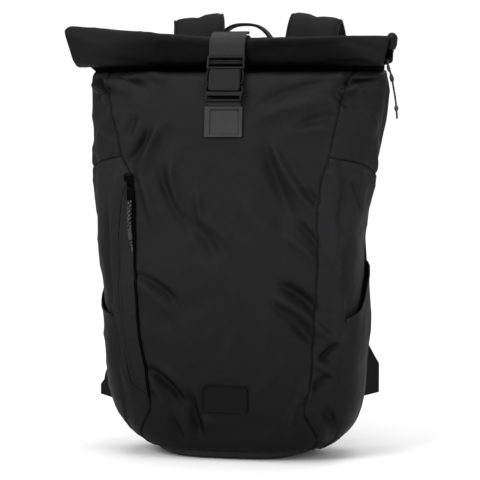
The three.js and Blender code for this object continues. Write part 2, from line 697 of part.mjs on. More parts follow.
// Levels of the rows below and above the gusset seam at a share across a side, 0 being the front seam
function lowerLevel(row, across) {
  return lerp(baseLevel, levelAt(BODY_HEIGHT * gusset(across) - halfGap), row / (LOWER_ROWS - 1));
}
function upperLevel(row, across) {
  return lerp(levelAt(BODY_HEIGHT * gusset(across) + halfGap), LAST_LEVEL, row / (UPPER_ROWS - 1));
}

// near and far faces of a wall whose cloth lies inside the skin
const wall = (thick) => ({ near: () => -thick, far: () => 0 });

function frontPanel() {
  addMesh('front_panel', skinSheet({
    rows: LOWER_ROWS + UPPER_ROWS - 1,
    shares: evenShares(FRONT_COLUMNS),
    level: (r) => (r < LOWER_ROWS - 1 ? lowerLevel(r, 0) : upperLevel(r - LOWER_ROWS + 1, 0)),
    from: (level) => seamRun('frontLeft', level) + halfGap,
    to: (level) => seamRun('frontRight', level) - halfGap,
    ...wall(CLOTH),
  }), shell);
}

// The runs at which a side's panels start and end, in the ring's own direction
function sideSpan(side) {
  return side === 'left'
    ? { from: (l) => seamRun('backLeft', l) + halfGap, to: (l) => seamRun('frontLeft', l) - halfGap }
    : { from: (l) => seamRun('frontRight', l) + halfGap, to: (l) => seamRun('backRight', l) - halfGap };
}

// A share across in the ring's direction, turned so that 0 is always the front seam
const fromFront = (side, across) => (side === 'left' ? 1 - across : across);

// The side's columns; on the left the one next to the front seam follows the zip flap's edge
function sideShares(side) {
  if (side === 'right') return SIDE_COLUMNS;
  const { from, to } = sideSpan(side);
  return (level) => {
    const flap = (FLAP_WIDTH + 6 * SEAM_GAP) / (to(level) - from(level));
    return SIDE_COLUMNS.map((share, c) => (c === SIDE_COLUMNS.length - 2 ? 1 - flap : share));
  };
}

function sidePanels() {
  for (const side of ['left', 'right']) {
    addMesh(`side_panel_${side}`, skinSheet({
      rows: LOWER_ROWS,
      shares: sideShares(side),
      level: (r, across) => lowerLevel(r, fromFront(side, across)),
      ...sideSpan(side),
      ...wall(CLOTH),
    }), shellSide);
    addMesh(`side_top_${side}`, skinSheet({
      rows: UPPER_ROWS,
      shares: sideShares(side),
      level: (r, across) => upperLevel(r, fromFront(side, across)),
      ...sideSpan(side),
      ...wall(CLOTH),
    }), shell);
  }
}

function backPanels() {
  const span = {
    shares: evenShares(BACK_COLUMNS),
    from: (level) => seamRun('backRight', level) - ringLength(level) + halfGap,
    to: (level) => seamRun('backLeft', level) - halfGap,
  };
  addMesh('back_panel', skinSheet({
    rows: LOWER_ROWS,
    level: (r) => lowerLevel(r, 1),
    ...span,
    ...wall(BACK_PAD),
  }), padCloth);
  addMesh('back_yoke', skinSheet({
    rows: UPPER_ROWS,
    level: (r) => upperLevel(r, 1),
    ...span,
    ...wall(CLOTH),
  }), shell);
}

// The base is a tray: its rim's points stand under the panels' columns.
function basePanel() {
  const top = levelAt(BASE_SEAM - SEAM_GAP);
  const levels = [0, top / 2, top];
  const corners = (level) => {
    const seams = ['backLeft', 'frontLeft', 'frontRight', 'backRight'].map((name) => seamRun(name, level));
    return [seams[3] - ringLength(level), ...seams];
  };
  const shares = (level) => [
    evenShares(BACK_COLUMNS),
    sideShares('left')(level),
    evenShares(FRONT_COLUMNS),
    sideShares('right'),
  ];
  const ring = (level, lift) => shares(level).flatMap((columns, panel) => {
    const ends = corners(level);
    return columns.slice(0, -1).map((share) => (
      skinPoint(level, lerp(ends[panel], ends[panel + 1], share), lift)));
  });
  const outer = levels.map((level) => ring(level, 0));
  const inner = levels.map((level) => ring(level, -BASE_CLOTH)).reverse();
  addMesh('base_panel', ringSolid([...outer, ...inner]), shell);
}

// Rolled top: a double sheet that leaves the collar, goes over the roll's back and top, down its front and
// inward. A point at a given turn lies on a superellipse that shrinks by one pitch each turn.
const collarY = BODY_DEPTH * BODY_SECTIONS[LAST_LEVEL].shift;
const rollCurves = Object.fromEntries(['height', 'depth', 'lift', 'lean'].map((c) => (
  [c, smoothColumn(ROLL_SECTIONS, 'along', c)])));
const rollFoot = BODY_HEIGHT + SEAM_GAP;

function rollShape(x) {
  const along = x / ROLL_LENGTH;
  const height = ROLL_HEIGHT * rollCurves.height(along);
  const depth = ROLL_DEPTH * rollCurves.depth(along);
  return {
    up: height / 2,
    out: depth / 2,
    y: collarY + ROLL_SHEET / 2 - depth / 2,
    z: rollFoot + SEAM_GAP + height / 2 + ROLL_HEIGHT * rollCurves.lift(along),
    lean: rollCurves.lean(along),
  };
}

// A point on the roll's outline, inset towards its middle; angle 0 is the back, 90 degrees the top
function rollPoint(x, angle, inset) {
  const shape = rollShape(x);
  const away = signedPower(Math.cos(angle), 2 / ROLL_CORNER) * (shape.out - inset);
  const above = signedPower(Math.sin(angle), 2 / ROLL_CORNER) * (shape.up - inset);
  const z = shape.z + above;
  return new THREE.Vector3(x + shape.lean * (z - rollFoot), shape.y + away, z);
}

function rollTop() {
  const pitch = ROLL_SHEET + ROLL_GAP;
  const steps = Math.round(ROLL_TURNS * TURN_STEPS);
  const sheet = (inset) => ROLL_SECTIONS.map(({ along }) => {
    const x = along * ROLL_LENGTH;
    const shape = rollShape(x);
    const foot = new THREE.Vector3(x, shape.y + shape.out - inset, rollFoot);
    const spiral = Array.from({ length: steps + 1 }, (_, k) => {
      const angle = (2 * Math.PI * k) / TURN_STEPS;
      return rollPoint(x, angle, inset + (pitch * k) / TURN_STEPS);
    });
    return [foot, ...spiral];
  });
  const turned = (grid) => grid[0].map((_, k) => grid.map((row) => row[k]));
  addMesh('roll_top', slab(turned(sheet(ROLL_SHEET)), turned(sheet(0))), shell);
}

// Side pockets: sheets that lie on the side panel along three edges and stand off it at the rim. They keep
// the side panel's rows and columns, and on the left they end at the zip flap.
function sidePockets() {
  for (const side of ['left', 'right']) {
    const shares = sideShares(side);
    const { from, to } = sideSpan(side);
    const kept = (level) => {
      const margin = POCKET_MARGIN / (to(level) - from(level));
      return side === 'left'
        ? shares(level).slice(0, -1).map((share) => Math.max(share, margin))
        : shares.map((share) => Math.min(share, 1 - margin));
    };
    const edge = side === 'left' ? SIDE_COLUMNS[SIDE_COLUMNS.length - 2] : 1;
    const bulge = (across, up) => {
      const inward = THREE.MathUtils.clamp(across / edge, 0, 1);
      const skewed = side === 'left' ? 1 - (1 - inward) ** POCKET_SKEW : inward ** POCKET_SKEW;
      const swell = Math.max(Math.sin(Math.PI * skewed), 0) ** POCKET_POWER;
      const drawn = 1 - POCKET_DRAWN * THREE.MathUtils.smoothstep(up, 0.75, 1);
      return POCKET_FULLNESS * swell * drawn * THREE.MathUtils.smoothstep(up, 0, 0.75);
    };
    addMesh(`pocket_${side}`, skinSheet({
      rows: POCKET_ROWS,
      shares: kept,
      level: (r, across) => (r < POCKET_ROWS - 1
        ? lowerLevel(r, fromFront(side, across))
        : levelAt(BODY_HEIGHT * rim(fromFront(side, across)))),
      ...sideSpan(side),
      near: (across, up) => PLATE_LIFT + bulge(across, up),
      far: (across, up) => PLATE_LIFT + bulge(across, up) + POCKET_CLOTH,
    }), shellSide);
  }
}

// Zip flap beside the front panel's left seam, with the garage that takes the slider at its top
const flapCurve = smoothColumn(FLAP_EDGE, 'up', 'reach');

function zipFlap() {
  const edge = (level) => seamRun('frontLeft', level) - SEAM_GAP;
  addMesh('zip_flap', skinSheet({
    rows: FLAP_LAST_ROW - FLAP_FIRST_ROW + 1,
    shares: evenShares(3),
    level: (r) => lowerLevel(FLAP_FIRST_ROW + r, 0),
    from: (level) => edge(level) - FLAP_WIDTH * flapCurve(upShare(level)),
    to: edge,
    near: () => PLATE_LIFT,
    far: () => PLATE_LIFT + FLAP_CLOTH,
  }), shellSide);
}

// A frame on the skin at a height and a run: z outward, y up along the skin, at a given lift
function skinFrame(level, run, lift) {
  const place = skinPoint(level, run, lift);
  const outward = skinPoint(level, run, lift + 1).sub(place).normalize();
  const upward = skinPoint(Math.min(level + 0.05, LAST_LEVEL), run, lift).sub(place);
  upward.addScaledVector(outward, -upward.dot(outward)).normalize();
  const side = upward.clone().cross(outward);
  const frame = new THREE.Matrix4().makeBasis(side, upward, outward);
  return frame.setPosition(place);
}

function boxOnSkin(name, [wide, tall, thick], level, run, lift, material) {
  const geometry = new THREE.BoxGeometry(wide, tall, thick);
  const mesh = addMesh(name, geometry, material);
  skinFrame(level, run, lift + thick / 2).decompose(mesh.position, mesh.quaternion, mesh.scale);
  return mesh;
}

function zipParts() {
  const flapTop = levelSection(lowerLevel(FLAP_LAST_ROW, 0)).z;
  const above = PLATE_LIFT + FLAP_CLOTH + SEAM_GAP;
  const seamAt = (z) => seamRun('frontLeft', levelAt(z)) - PULL_SETBACK;
  const garageZ = flapTop + SEAM_GAP + GARAGE_HEIGHT / 2;
  boxOnSkin('zip_garage', [GARAGE_WIDTH, GARAGE_HEIGHT, GARAGE_THICK], levelAt(garageZ), seamAt(garageZ),
    PLATE_LIFT, zipBlack);
  const sliderZ = flapTop - SLIDER_HEIGHT / 2 - SLIDER_DROP;
  boxOnSkin('zip_slider', [SLIDER_WIDTH, SLIDER_HEIGHT, SLIDER_THICK], levelAt(sliderZ), seamAt(sliderZ),
    above, zipBlack);
  const pullZ = sliderZ - SLIDER_HEIGHT / 2 - SEAM_GAP - PULL_LENGTH / 2;
  boxOnSkin('zip_pull', [PULL_WIDTH, PULL_LENGTH, PULL_THICK], levelAt(pullZ), seamAt(pullZ),
    above + SLIDER_THICK / 2, zipBlack);
}

// Closure strap. The buckle has its own frame: its middle is the ladder's middle, and it leans forward.
const ladderHalf = LADDER_HEIGHT / 2;
const socketLow = -(ladderHalf + BUCKLE_HEIGHT + SOCKET_HEIGHT + 2 * SEAM_GAP);
const strapRoll = rollShape(STRAP_X);
const strapY = strapRoll.y - strapRoll.out - SEAM_GAP - WEBBING / 2;
const ladderY = strapY - WEBBING / 2 - SEAM_GAP - LADDER_THICK / 2;
const ladderZ = strapRoll.z - LADDER_DROP - ladderHalf;

// The lean that leaves BUCKLE_ROOM behind the webbing at the buckle's foot, found in a few steps
function buckleLean() {
  const back = SOCKET_THICK / 2 + SEAM_GAP + WEBBING;
  const steps = 12;
  let lean = 0;
  for (let i = 0; i < steps; i += 1) {
    const y = ladderY + (socketLow - ladderHalf) * Math.sin(lean) + back * Math.cos(lean);
    const z = ladderZ + socketLow * Math.cos(lean) - back * Math.sin(lean);
    const level = levelAt(z);
    const room = skinPoint(level, runAtX(level, STRAP_X, true), 0).y - y;
    lean += (BUCKLE_ROOM - room) / (ladderHalf - socketLow);
  }
  return lean;
}
const buckleTurn = -buckleLean();
const buckleOrigin = new THREE.Vector3(STRAP_X, ladderY + ladderHalf * Math.sin(buckleTurn), ladderZ);
function buckleAt(y, z) {
  const local = new THREE.Vector3(0, y, z).applyAxisAngle(new THREE.Vector3(1, 0, 0), buckleTurn);
  return local.add(buckleOrigin);
}

const sideways = new THREE.Vector3(1, 0, 0);
const placeAt = (middle) => ({ middle, across: sideways });

function webbingOverRoll(lift, fromDegrees, toDegrees) {
  const count = 14;
  return Array.from({ length: count + 1 }, (_, k) => {
    const angle = THREE.MathUtils.degToRad(lerp(fromDegrees, toDegrees, k / count));
    return rollPoint(STRAP_X, angle, -lift);
  });
}

function closureStrap() {
  const lift = SEAM_GAP + WEBBING / 2;
  const roof = STRAP_ROOF.map((up) => {
    const level = levelAt(BODY_HEIGHT * up);
    return skinPoint(level, runAtX(level, STRAP_X, false), lift);
  });
  const behind = LADDER_THICK / 2 + lift;
  const main = [
    ...roof,
    ...webbingOverRoll(lift, STRAP_START, STRAP_END),
    buckleAt(behind, ladderHalf - WEBBING),
    buckleAt(behind, -LADDER_BAR),
  ];
  addMesh('closure_strap', strip(main.map(placeAt), WEBBING_WIDTH, WEBBING), webbing);
  const above = lift + WEBBING + SEAM_GAP;
  const tail = [
    buckleAt(-behind, ladderHalf - LADDER_BAR),
    buckleAt(-behind, ladderHalf + WEBBING),
    ...webbingOverRoll(above, TAIL_START, TAIL_END),
  ];
  addMesh('strap_tail', strip(tail.map(placeAt), WEBBING_WIDTH, WEBBING), webbing);
}

function buckle() {
  const holder = new THREE.Group();
  holder.position.copy(buckleOrigin);
  holder.rotation.x = buckleTurn;
  group.add(holder);
  const slotWidth = LADDER_WIDTH - 2 * SLOT_SIDE;
  const slotTop = ladderHalf - LADDER_BAR;
  const slots = [
    { width: slotWidth, low: slotTop - LADDER_SLOT, high: slotTop },
    { width: slotWidth, low: -slotTop, high: -slotTop + LADDER_SLOT },
  ];
  const ladder = slottedPlate(LADDER_WIDTH, -ladderHalf, ladderHalf, LADDER_THICK, LADDER_CORNER, slots);
  addMesh('buckle_ladder', ladder, plastic, holder);
  const bodyTop = -ladderHalf - SEAM_GAP;
  const bodyWidth = LADDER_WIDTH - 2 * PRONG_WIDTH - 2 * SEAM_GAP;
  const insert = slottedPlate(bodyWidth, bodyTop - BUCKLE_HEIGHT, bodyTop, BUCKLE_THICK, BUCKLE_CORNER, []);
  addMesh('buckle_insert', insert, plastic, holder);
  for (const [name, sign] of [['buckle_prong_left', -1], ['buckle_prong_right', 1]]) {
    const prongLow = bodyTop - PRONG_LENGTH;
    const prong = slottedPlate(PRONG_WIDTH, prongLow, bodyTop, LADDER_THICK, PRONG_CORNER, []);
    prong.translate(sign * (LADDER_WIDTH - PRONG_WIDTH) / 2, 0, 0);
    addMesh(name, prong, plastic, holder);
  }
  const socketTop = socketLow + SOCKET_HEIGHT;
  const slotLow = socketLow + SOCKET_BAR;
  const socketSlot = { width: SOCKET_WIDTH - 2 * SLOT_SIDE, low: slotLow, high: slotLow + SOCKET_SLOT };
  const socket = slottedPlate(SOCKET_WIDTH, socketLow, socketTop, SOCKET_THICK, BUCKLE_CORNER,
    [socketSlot]);
  addMesh('buckle_socket', socket, plastic, holder);
}

// Short webbing from the socket's slot to the patch, and the patch itself
function buckleLoop() {
  const lift = SEAM_GAP + WEBBING / 2;
  const behind = SOCKET_THICK / 2 + lift;
  const patchTop = buckleAt(0, socketLow).z - PATCH_DROP;
  const abovePatch = levelAt(patchTop + 2 * SEAM_GAP);
  const onPanel = skinPoint(abovePatch, runAtX(abovePatch, STRAP_X, true), 2 * SEAM_GAP + WEBBING / 2);
  const line = [
    buckleAt(behind, socketLow + SOCKET_BAR + SOCKET_SLOT),
    buckleAt(behind, socketLow - WEBBING / 2),
    onPanel,
  ];
  addMesh('buckle_loop', strip(line.map(placeAt), LOOP_WIDTH, WEBBING), webbing);
  addMesh('buckle_patch', frontPlate(PATCH_X - PATCH_WIDTH / 2, PATCH_X + PATCH_WIDTH / 2,
    patchTop - PATCH_HEIGHT, patchTop, PATCH_THICK, 5, 6), patchRubber);
  addMesh('label_patch', frontPlate(LABEL_X - LABEL_WIDTH / 2, LABEL_X + LABEL_WIDTH / 2,
    LABEL_LOW, LABEL_LOW + LABEL_HEIGHT, LABEL_THICK, 4, 7), patchRubber);
}

// The place of the back's skin at a height, in the middle of the bag
function backY(z) {
  return ringPoint(levelAt(Math.min(z, BODY_HEIGHT)), 0).y;
}

// Height of the roof behind the roll at a place, looked for between the topmost levels
const ROOF_LEVELS = 6;
function roofZ(y) {
  let low = LAST_LEVEL - ROOF_LEVELS;
  let high = LAST_LEVEL;
  for (let i = 0; i < 40; i += 1) {
    const middle = (low + high) / 2;
    if (ringPoint(middle, 0).y > y) low = middle;
    else high = middle;
  }
  return ringPoint(low, 0).z;
}

// Shoulder straps with their ladder locks, webbing and wings
function shoulderParts() {
  const backFace = backY(SHOULDER_LINE[0].up * BODY_HEIGHT) + SEAM_GAP + SHOULDER_THICK / 2;
  const wide = smoothColumn(SHOULDER_LINE, null, 'wide');
  const tilt = smoothColumn(SHOULDER_LINE, null, 'tilt');
  for (const [side, sign] of [['left', -1], ['right', 1]]) {
    const knots = SHOULDER_LINE.map(({ out, away, up }) => new THREE.Vector3(
      sign * out * BODY_WIDTH + SHOULDER_SHIFT,
      backFace + away * BODY_DEPTH,
      up * BODY_HEIGHT,
    ));
    const curve = new THREE.CatmullRomCurve3(knots, false, 'centripetal');
    const count = 2 * (SHOULDER_LINE.length - 1);
    const places = Array.from({ length: count + 1 }, (_, k) => {
      const drop = THREE.MathUtils.degToRad(tilt(k / 2));
      return {
        middle: curve.getPoint(k / count),
        across: new THREE.Vector3(Math.cos(drop), 0, -sign * Math.sin(drop)),
        width: SHOULDER_WIDTH * wide(k / 2),
      };
    });
    addMesh(`shoulder_strap_${side}`, paddedStrap(places, SHOULDER_THICK, SHOULDER_ROUND), padCloth);
    strapFoot(side, sign, curve);
  }
}

function strapFoot(side, sign, curve) {
  const end = curve.getPoint(1);
  const down = curve.getTangent(1);
  const lockMiddle = end.clone().addScaledVector(down, SEAM_GAP + LOCK_HEIGHT / 2);
  const slotWidth = TRIM_WIDTH + 2 * SEAM_GAP;
  const lock = slottedPlate(LOCK_WIDTH, -LOCK_HEIGHT / 2, LOCK_HEIGHT / 2, LOCK_THICK, LOCK_CORNER, [
    { width: slotWidth, low: LOCK_BAR - LOCK_HEIGHT / 2, high: -LOCK_MIDDLE / 2 },
    { width: slotWidth, low: LOCK_MIDDLE / 2, high: LOCK_HEIGHT / 2 - LOCK_BAR },
  ]);
  const holder = new THREE.Group();
  holder.position.copy(lockMiddle);
  const upward = down.clone().negate();
  const across = sideways.clone().addScaledVector(upward, -upward.x).normalize();
  const depth = upward.clone().cross(across);
  holder.quaternion.setFromRotationMatrix(new THREE.Matrix4().makeBasis(across, depth, upward));
  group.add(holder);
  addMesh(`ladder_lock_${side}`, lock, plastic, holder);
  const reach = WING_REACH[side] * BODY_WIDTH;
  const tipY = backY(WING_UP * BODY_HEIGHT) + WING_LEAN[side] * BODY_DEPTH;
  const seam = side === 'left' ? 'backLeft' : 'backRight';
  const inwards = side === 'left' ? -1 : 1;
  const face = (which) => evenShares(WING_ROWS).map((share) => {
    const level = levelAt(BODY_HEIGHT * lerp(...WING_ROOT[side], share));
    const run = seamRun(seam, level) + inwards * (SEAM_GAP + which * WING_THICK);
    const sewn = skinPoint(level, run, SEAM_GAP);
    const end = new THREE.Vector3(sign * reach, tipY + which * WING_THICK,
      lerp(...WING_TIP[side], share) * BODY_HEIGHT);
    return [sewn, sewn.clone().lerp(end, 0.5), end];
  });
  const wing = side === 'left' ? slab(face(1), face(0)) : slab(face(0), face(1));
  addMesh(`wing_${side}`, wing, shellSide);
  const inset = TRIM_WIDTH / 2 + TRIM_INSET;
  const onWing = tipY + WING_THICK + SEAM_GAP + TRIM_THICK / 2;
  const low = new THREE.Vector3(sign * (reach - inset), onWing, TRIM_UP[side][0] * BODY_HEIGHT);
  const rise = low.clone().setZ(TRIM_UP[side][1] * BODY_HEIGHT);
  rise.y += SEAM_GAP;
  const top = lockMiddle.clone().addScaledVector(depth, -(LOCK_THICK / 2 + 3.5 * SEAM_GAP + TRIM_THICK / 2));
  const half = rise.clone().lerp(top, 0.5);
  const line = [low, rise, half, top].map(placeAt);
  addMesh(`strap_webbing_${side}`, strip(line, TRIM_WIDTH, TRIM_THICK), webbing);
}

// Grab handle: an arch of webbing whose width runs from front to back and whose feet lie on the roof
function grabHandle() {
  const deep = new THREE.Vector3(0, 1, 0);
  const foot = roofZ(HANDLE_Y - HANDLE_WIDTH / 2) + SEAM_GAP;
  const half = HANDLE_SPAN / 2;
  const rise = HANDLE_TOP - HANDLE_THICK / 2 - foot;
  const count = 14;
  const places = Array.from({ length: count + 1 }, (_, k) => {
    const angle = Math.PI * (1 - k / count);
    const x = half * signedPower(Math.cos(angle), HANDLE_SIDE_POWER);
    const z = foot + rise * Math.abs(Math.sin(angle)) ** HANDLE_TOP_POWER;
    return { middle: new THREE.Vector3(x, HANDLE_Y, z), across: deep };
  });
  const geometry = strip(places, HANDLE_WIDTH, HANDLE_THICK);
  addMesh('grab_handle', geometry, webbing);
}

// Zip end on the roll's right end, with the slider that hangs beside it
function rollZip() {
  const x = ROLL_SECTIONS[ROLL_SECTIONS.length - 1].along * ROLL_LENGTH;
  const shape = rollShape(x);
  const endAt = (z) => x + shape.lean * (z - rollFoot);
  const lump = new THREE.SphereGeometry(0.5, 12, 8);
  lump.scale(ZIP_END_WIDTH, ZIP_END_DEPTH, ZIP_END_HEIGHT);
  const end = addMesh('roll_zip_end', lump, shell);
  const lumpZ = shape.z + ZIP_END_RISE;
  const lumpX = endAt(lumpZ + ZIP_END_HEIGHT / 4) + SEAM_GAP + ZIP_END_WIDTH / 2;
  end.position.set(lumpX, shape.y, lumpZ);
  const box = new THREE.BoxGeometry(ROLL_SLIDER_WIDTH, ROLL_SLIDER_DEPTH, ROLL_SLIDER_HEIGHT);
  const slider = addMesh('roll_zip_slider', box, zipBlack);
  const sliderZ = lumpZ - (ZIP_END_HEIGHT + ROLL_SLIDER_HEIGHT) / 2 - SEAM_GAP + ROLL_SLIDER_TUCK;
  const sliderX = endAt(sliderZ + ROLL_SLIDER_HEIGHT / 2) + SEAM_GAP + ROLL_SLIDER_WIDTH / 2;
  slider.position.set(sliderX, shape.y, sliderZ);
}

// A body of revolution between the ends of two cords, in line with them
function threaded(name, from, to, geometry, material) {
  const a = new THREE.Vector3(...from);
  const b = new THREE.Vector3(...to);
  const length = a.distanceTo(b) - 2 * SEAM_GAP;
  geometry.scale(1, length, 1);
  const mesh = addMesh(name, geometry, material);
  mesh.position.copy(a).lerp(b, 0.5);
  mesh.quaternion.setFromUnitVectors(new THREE.Vector3(0, 1, 0), b.clone().sub(a).normalize());
}

function roundBead(width) {
  return new THREE.SphereGeometry(0.5, 10, 6).scale(width, 1, width);
}

function pullCords() {
  const last = (points) => points[points.length - 1];
  addMesh('front_pull_cord', cordTube(FRONT_CORD_POINTS, FRONT_CORD), cordGrey);
  addMesh('front_pull_tail', cordTube(FRONT_TAIL_POINTS, FRONT_TAIL), cordGrey);
  const sleeve = new THREE.CylinderGeometry(SLEEVE_WIDTH / 2, SLEEVE_WIDTH / 2, 1, 10);
  threaded('front_pull_sleeve', last(FRONT_CORD_POINTS), FRONT_TAIL_POINTS[0], sleeve, cordGrey);
  addMesh('roll_pull_cord', cordTube(ROLL_CORD_POINTS, ROLL_CORD), cordGrey);
  addMesh('roll_pull_line', cordTube(ROLL_LINE_POINTS, ROLL_CORD), cordGrey);
  addMesh('roll_pull_tail', cordTube(ROLL_TAIL_POINTS, ROLL_CORD), cordGrey);
  const knot = roundBead(ROLL_KNOT_WIDTH);
  const bead = roundBead(BEAD_WIDTH);
  threaded('roll_pull_knot', last(ROLL_CORD_POINTS), ROLL_LINE_POINTS[0], knot, cordGrey);
  threaded('roll_pull_bead', last(ROLL_LINE_POINTS), ROLL_TAIL_POINTS[0], bead, cordGrey);
}

frontPanel();
sidePanels();
backPanels();
basePanel();
rollTop();
sidePockets();
zipFlap();
zipParts();
closureStrap();
buckle();
buckleLoop();
shoulderParts();
grabHandle();
rollZip();
pullCords();

export default group;
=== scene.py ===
"""Rolltop backpack of thin dark nylon, standing on its base with the top rolled down and buckled.

Metres, +X to the bag's right as seen from the front, +Y to its back, +Z up, origin under the base's middle.
The cloth is worked out on one body surface: a level runs up it from 0 to LAST_LEVEL, and a run goes round it
from the middle of the back over the left side and the front to the right side.
"""

import math

import bpy
import numpy as np
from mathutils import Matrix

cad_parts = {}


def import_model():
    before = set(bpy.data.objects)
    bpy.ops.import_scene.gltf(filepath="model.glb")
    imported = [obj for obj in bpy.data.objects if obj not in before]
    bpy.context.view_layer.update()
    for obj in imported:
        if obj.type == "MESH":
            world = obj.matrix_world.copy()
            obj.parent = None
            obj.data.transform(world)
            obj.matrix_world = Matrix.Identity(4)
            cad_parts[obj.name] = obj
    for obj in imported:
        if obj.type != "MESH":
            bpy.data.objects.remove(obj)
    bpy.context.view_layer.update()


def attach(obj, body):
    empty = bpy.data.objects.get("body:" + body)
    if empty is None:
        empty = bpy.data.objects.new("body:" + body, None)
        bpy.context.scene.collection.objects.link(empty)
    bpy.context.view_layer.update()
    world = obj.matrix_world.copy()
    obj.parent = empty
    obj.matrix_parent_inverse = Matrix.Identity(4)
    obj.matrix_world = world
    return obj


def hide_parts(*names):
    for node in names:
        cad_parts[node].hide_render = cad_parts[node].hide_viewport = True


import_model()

# Body sizes
BODY_HEIGHT = 0.413
BODY_WIDTH = 0.304
BODY_DEPTH = 0.128
CLOTH = 0.0018
BACK_PAD = 0.009
SEAM_GAP = 0.0003
PLATE_LIFT = 0.0008
BASE_SEAM = 0.009

# Rolled top
ROLL_LENGTH = 0.350
ROLL_HEIGHT = 0.036
ROLL_DEPTH = 0.041
ROLL_SHEET = 0.0032
ROLL_GAP = 0.001
ROLL_TURNS = 2.4
ROLL_CORNER = 2.5

# Closure strap and buckle
WEBBING_WIDTH = 0.038
WEBBING = 0.0015
STRAP_X = -0.0025
LADDER_WIDTH = 0.041
LADDER_HEIGHT = 0.0145
LADDER_THICK = 0.004
LADDER_DROP = 0.003
BUCKLE_TILT = 16.04
BUCKLE_HEIGHT = 0.024
SOCKET_WIDTH = 0.039
SOCKET_HEIGHT = 0.011
LOOP_WIDTH = 0.035

# Patch under the buckle and label patch: middle across and up, and half sizes
PATCH_X, PATCH_Z, PATCH_HALF_WIDE, PATCH_HALF_HIGH = -0.0035, 0.359, 0.0203, 0.0159
LABEL_X, LABEL_Z, LABEL_HALF_WIDE, LABEL_HALF_HIGH = 0.001, 0.067, 0.0245, 0.014

# Pockets, and the strip at the left front seam where the pocket lies flat under the zip flap
POCKET_CLOTH = 0.0015
POCKET_FULLNESS = 0.0052
POCKET_MARGIN = 0.007
POCKET_POWER = 0.8
POCKET_SKEW = 1.5
POCKET_DRAWN = 0.3
FLAP_STRIP = 0.0218

# Carrying parts
SHOULDER_WIDTH = 0.058
SHOULDER_THICK = 0.009
SHOULDER_SHIFT = 0.003
LOCK_WIDTH = 0.032
LOCK_HEIGHT = 0.014
LOCK_THICK = 0.004
WING_THICK = 0.003
LOWER_WIDTH = 0.025
LOWER_THICK = 0.0016
HANDLE_Y = 0.040
HANDLE_SPAN = 0.074
HANDLE_TOP = 0.465
HANDLE_WIDTH = 0.020
HANDLE_THICK = 0.003

# How far sewn edges turn in, over what breadth, and the small waves along them
TUCK_DEPTH = 0.0016
TUCK_WIDTH = 0.0016
PUCKER_PITCH = 0.0125
PUCKER_RISE = 0.0004
PUCKER_REACH = 0.012

# Level sections of the body: share of the height, left and right of the width, front, back and shift of the
# depth, and the superellipse's exponent
BODY_SECTIONS = np.array([
    (0.0, 0.217, 0.204, 0.298, 0.283, 0, 2.6),
    (0.0073, 0.25, 0.24, 0.369, 0.345, 0, 2.7),
    (0.022, 0.293, 0.296, 0.431, 0.392, 0, 2.9),
    (0.053, 0.355, 0.37, 0.474, 0.423, 0, 3.1),
    (0.104, 0.411, 0.42, 0.494, 0.439, 0, 3.3),
    (0.162, 0.438, 0.438, 0.501, 0.447, 0, 3.5),
    (0.252, 0.452, 0.441, 0.501, 0.447, 0, 3.5),
    (0.334, 0.46, 0.448, 0.501, 0.447, 0, 3.5),
    (0.446, 0.478, 0.446, 0.494, 0.447, 0, 3.5),
    (0.54, 0.498, 0.448, 0.486, 0.447, 0, 3.5),
    (0.656, 0.5, 0.468, 0.47, 0.447, 0, 3.5),
    (0.78, 0.507, 0.496, 0.436, 0.447, 0, 3.5),
    (0.875, 0.519, 0.524, 0.403, 0.435, 0, 3.5),
    (0.925, 0.524, 0.534, 0.386, 0.408, 0, 3.4),
    (0.957, 0.525, 0.537, 0.362, 0.3375, -0.008, 3.3),
    (0.979, 0.523, 0.536, 0.33, 0.22, -0.018, 3.2),
    (0.99, 0.52, 0.533, 0.275, 0.095, -0.027, 3.1),
    (1.0, 0.516, 0.529, 0, 0, -0.031, 3),
])
COLLAR_HALF = ROLL_SHEET / 2 + SEAM_GAP + CLOTH

# Seams: share of the height, then left and right as shares of the width
FRONT_SEAMS = np.array([
    (0.0, -0.18, 0.17),
    (0.022, -0.278, 0.276),
    (0.058, -0.316, 0.317),
    (0.138, -0.272, 0.277),
    (0.216, -0.283, 0.302),
    (0.33, -0.312, 0.308),
    (0.51, -0.327, 0.322),
    (0.62, -0.329, 0.319),
    (0.72, -0.341, 0.333),
    (0.78, -0.383, 0.356),
    (0.867, -0.414, 0.381),
    (0.93, -0.432, 0.397),
    (1.0, -0.446, 0.428),
])
BACK_SEAMS = np.array([
    (0.0, -0.16, 0.155),
    (0.022, -0.25, 0.25),
    (0.075, -0.32, 0.32),
    (0.15, -0.345, 0.345),
    (0.62, -0.36, 0.36),
    (0.9, -0.41, 0.41),
    (1.0, -0.43, 0.43),
])

# Across a side from the front seam to the back seam, then the share of the height: the seam of the gusset
# and the rim of the pocket
GUSSET_SEAM = np.array([(0, 0.779), (0.25, 0.764), (0.5, 0.735), (0.75, 0.7), (1, 0.685)])
POCKET_RIM = np.array([(0, 0.35), (0.28, 0.372), (0.5, 0.418), (0.7, 0.482), (1, 0.528)])

# Share of the height, then the zip flap's reach from the left front seam in metres
FLAP_EDGE = np.array([
    (0.172, 0.0024),
    (0.2, 0.0172),
    (0.28, 0.02),
    (0.49, 0.0194),
    (0.66, 0.0136),
    (0.71, 0.006),
])

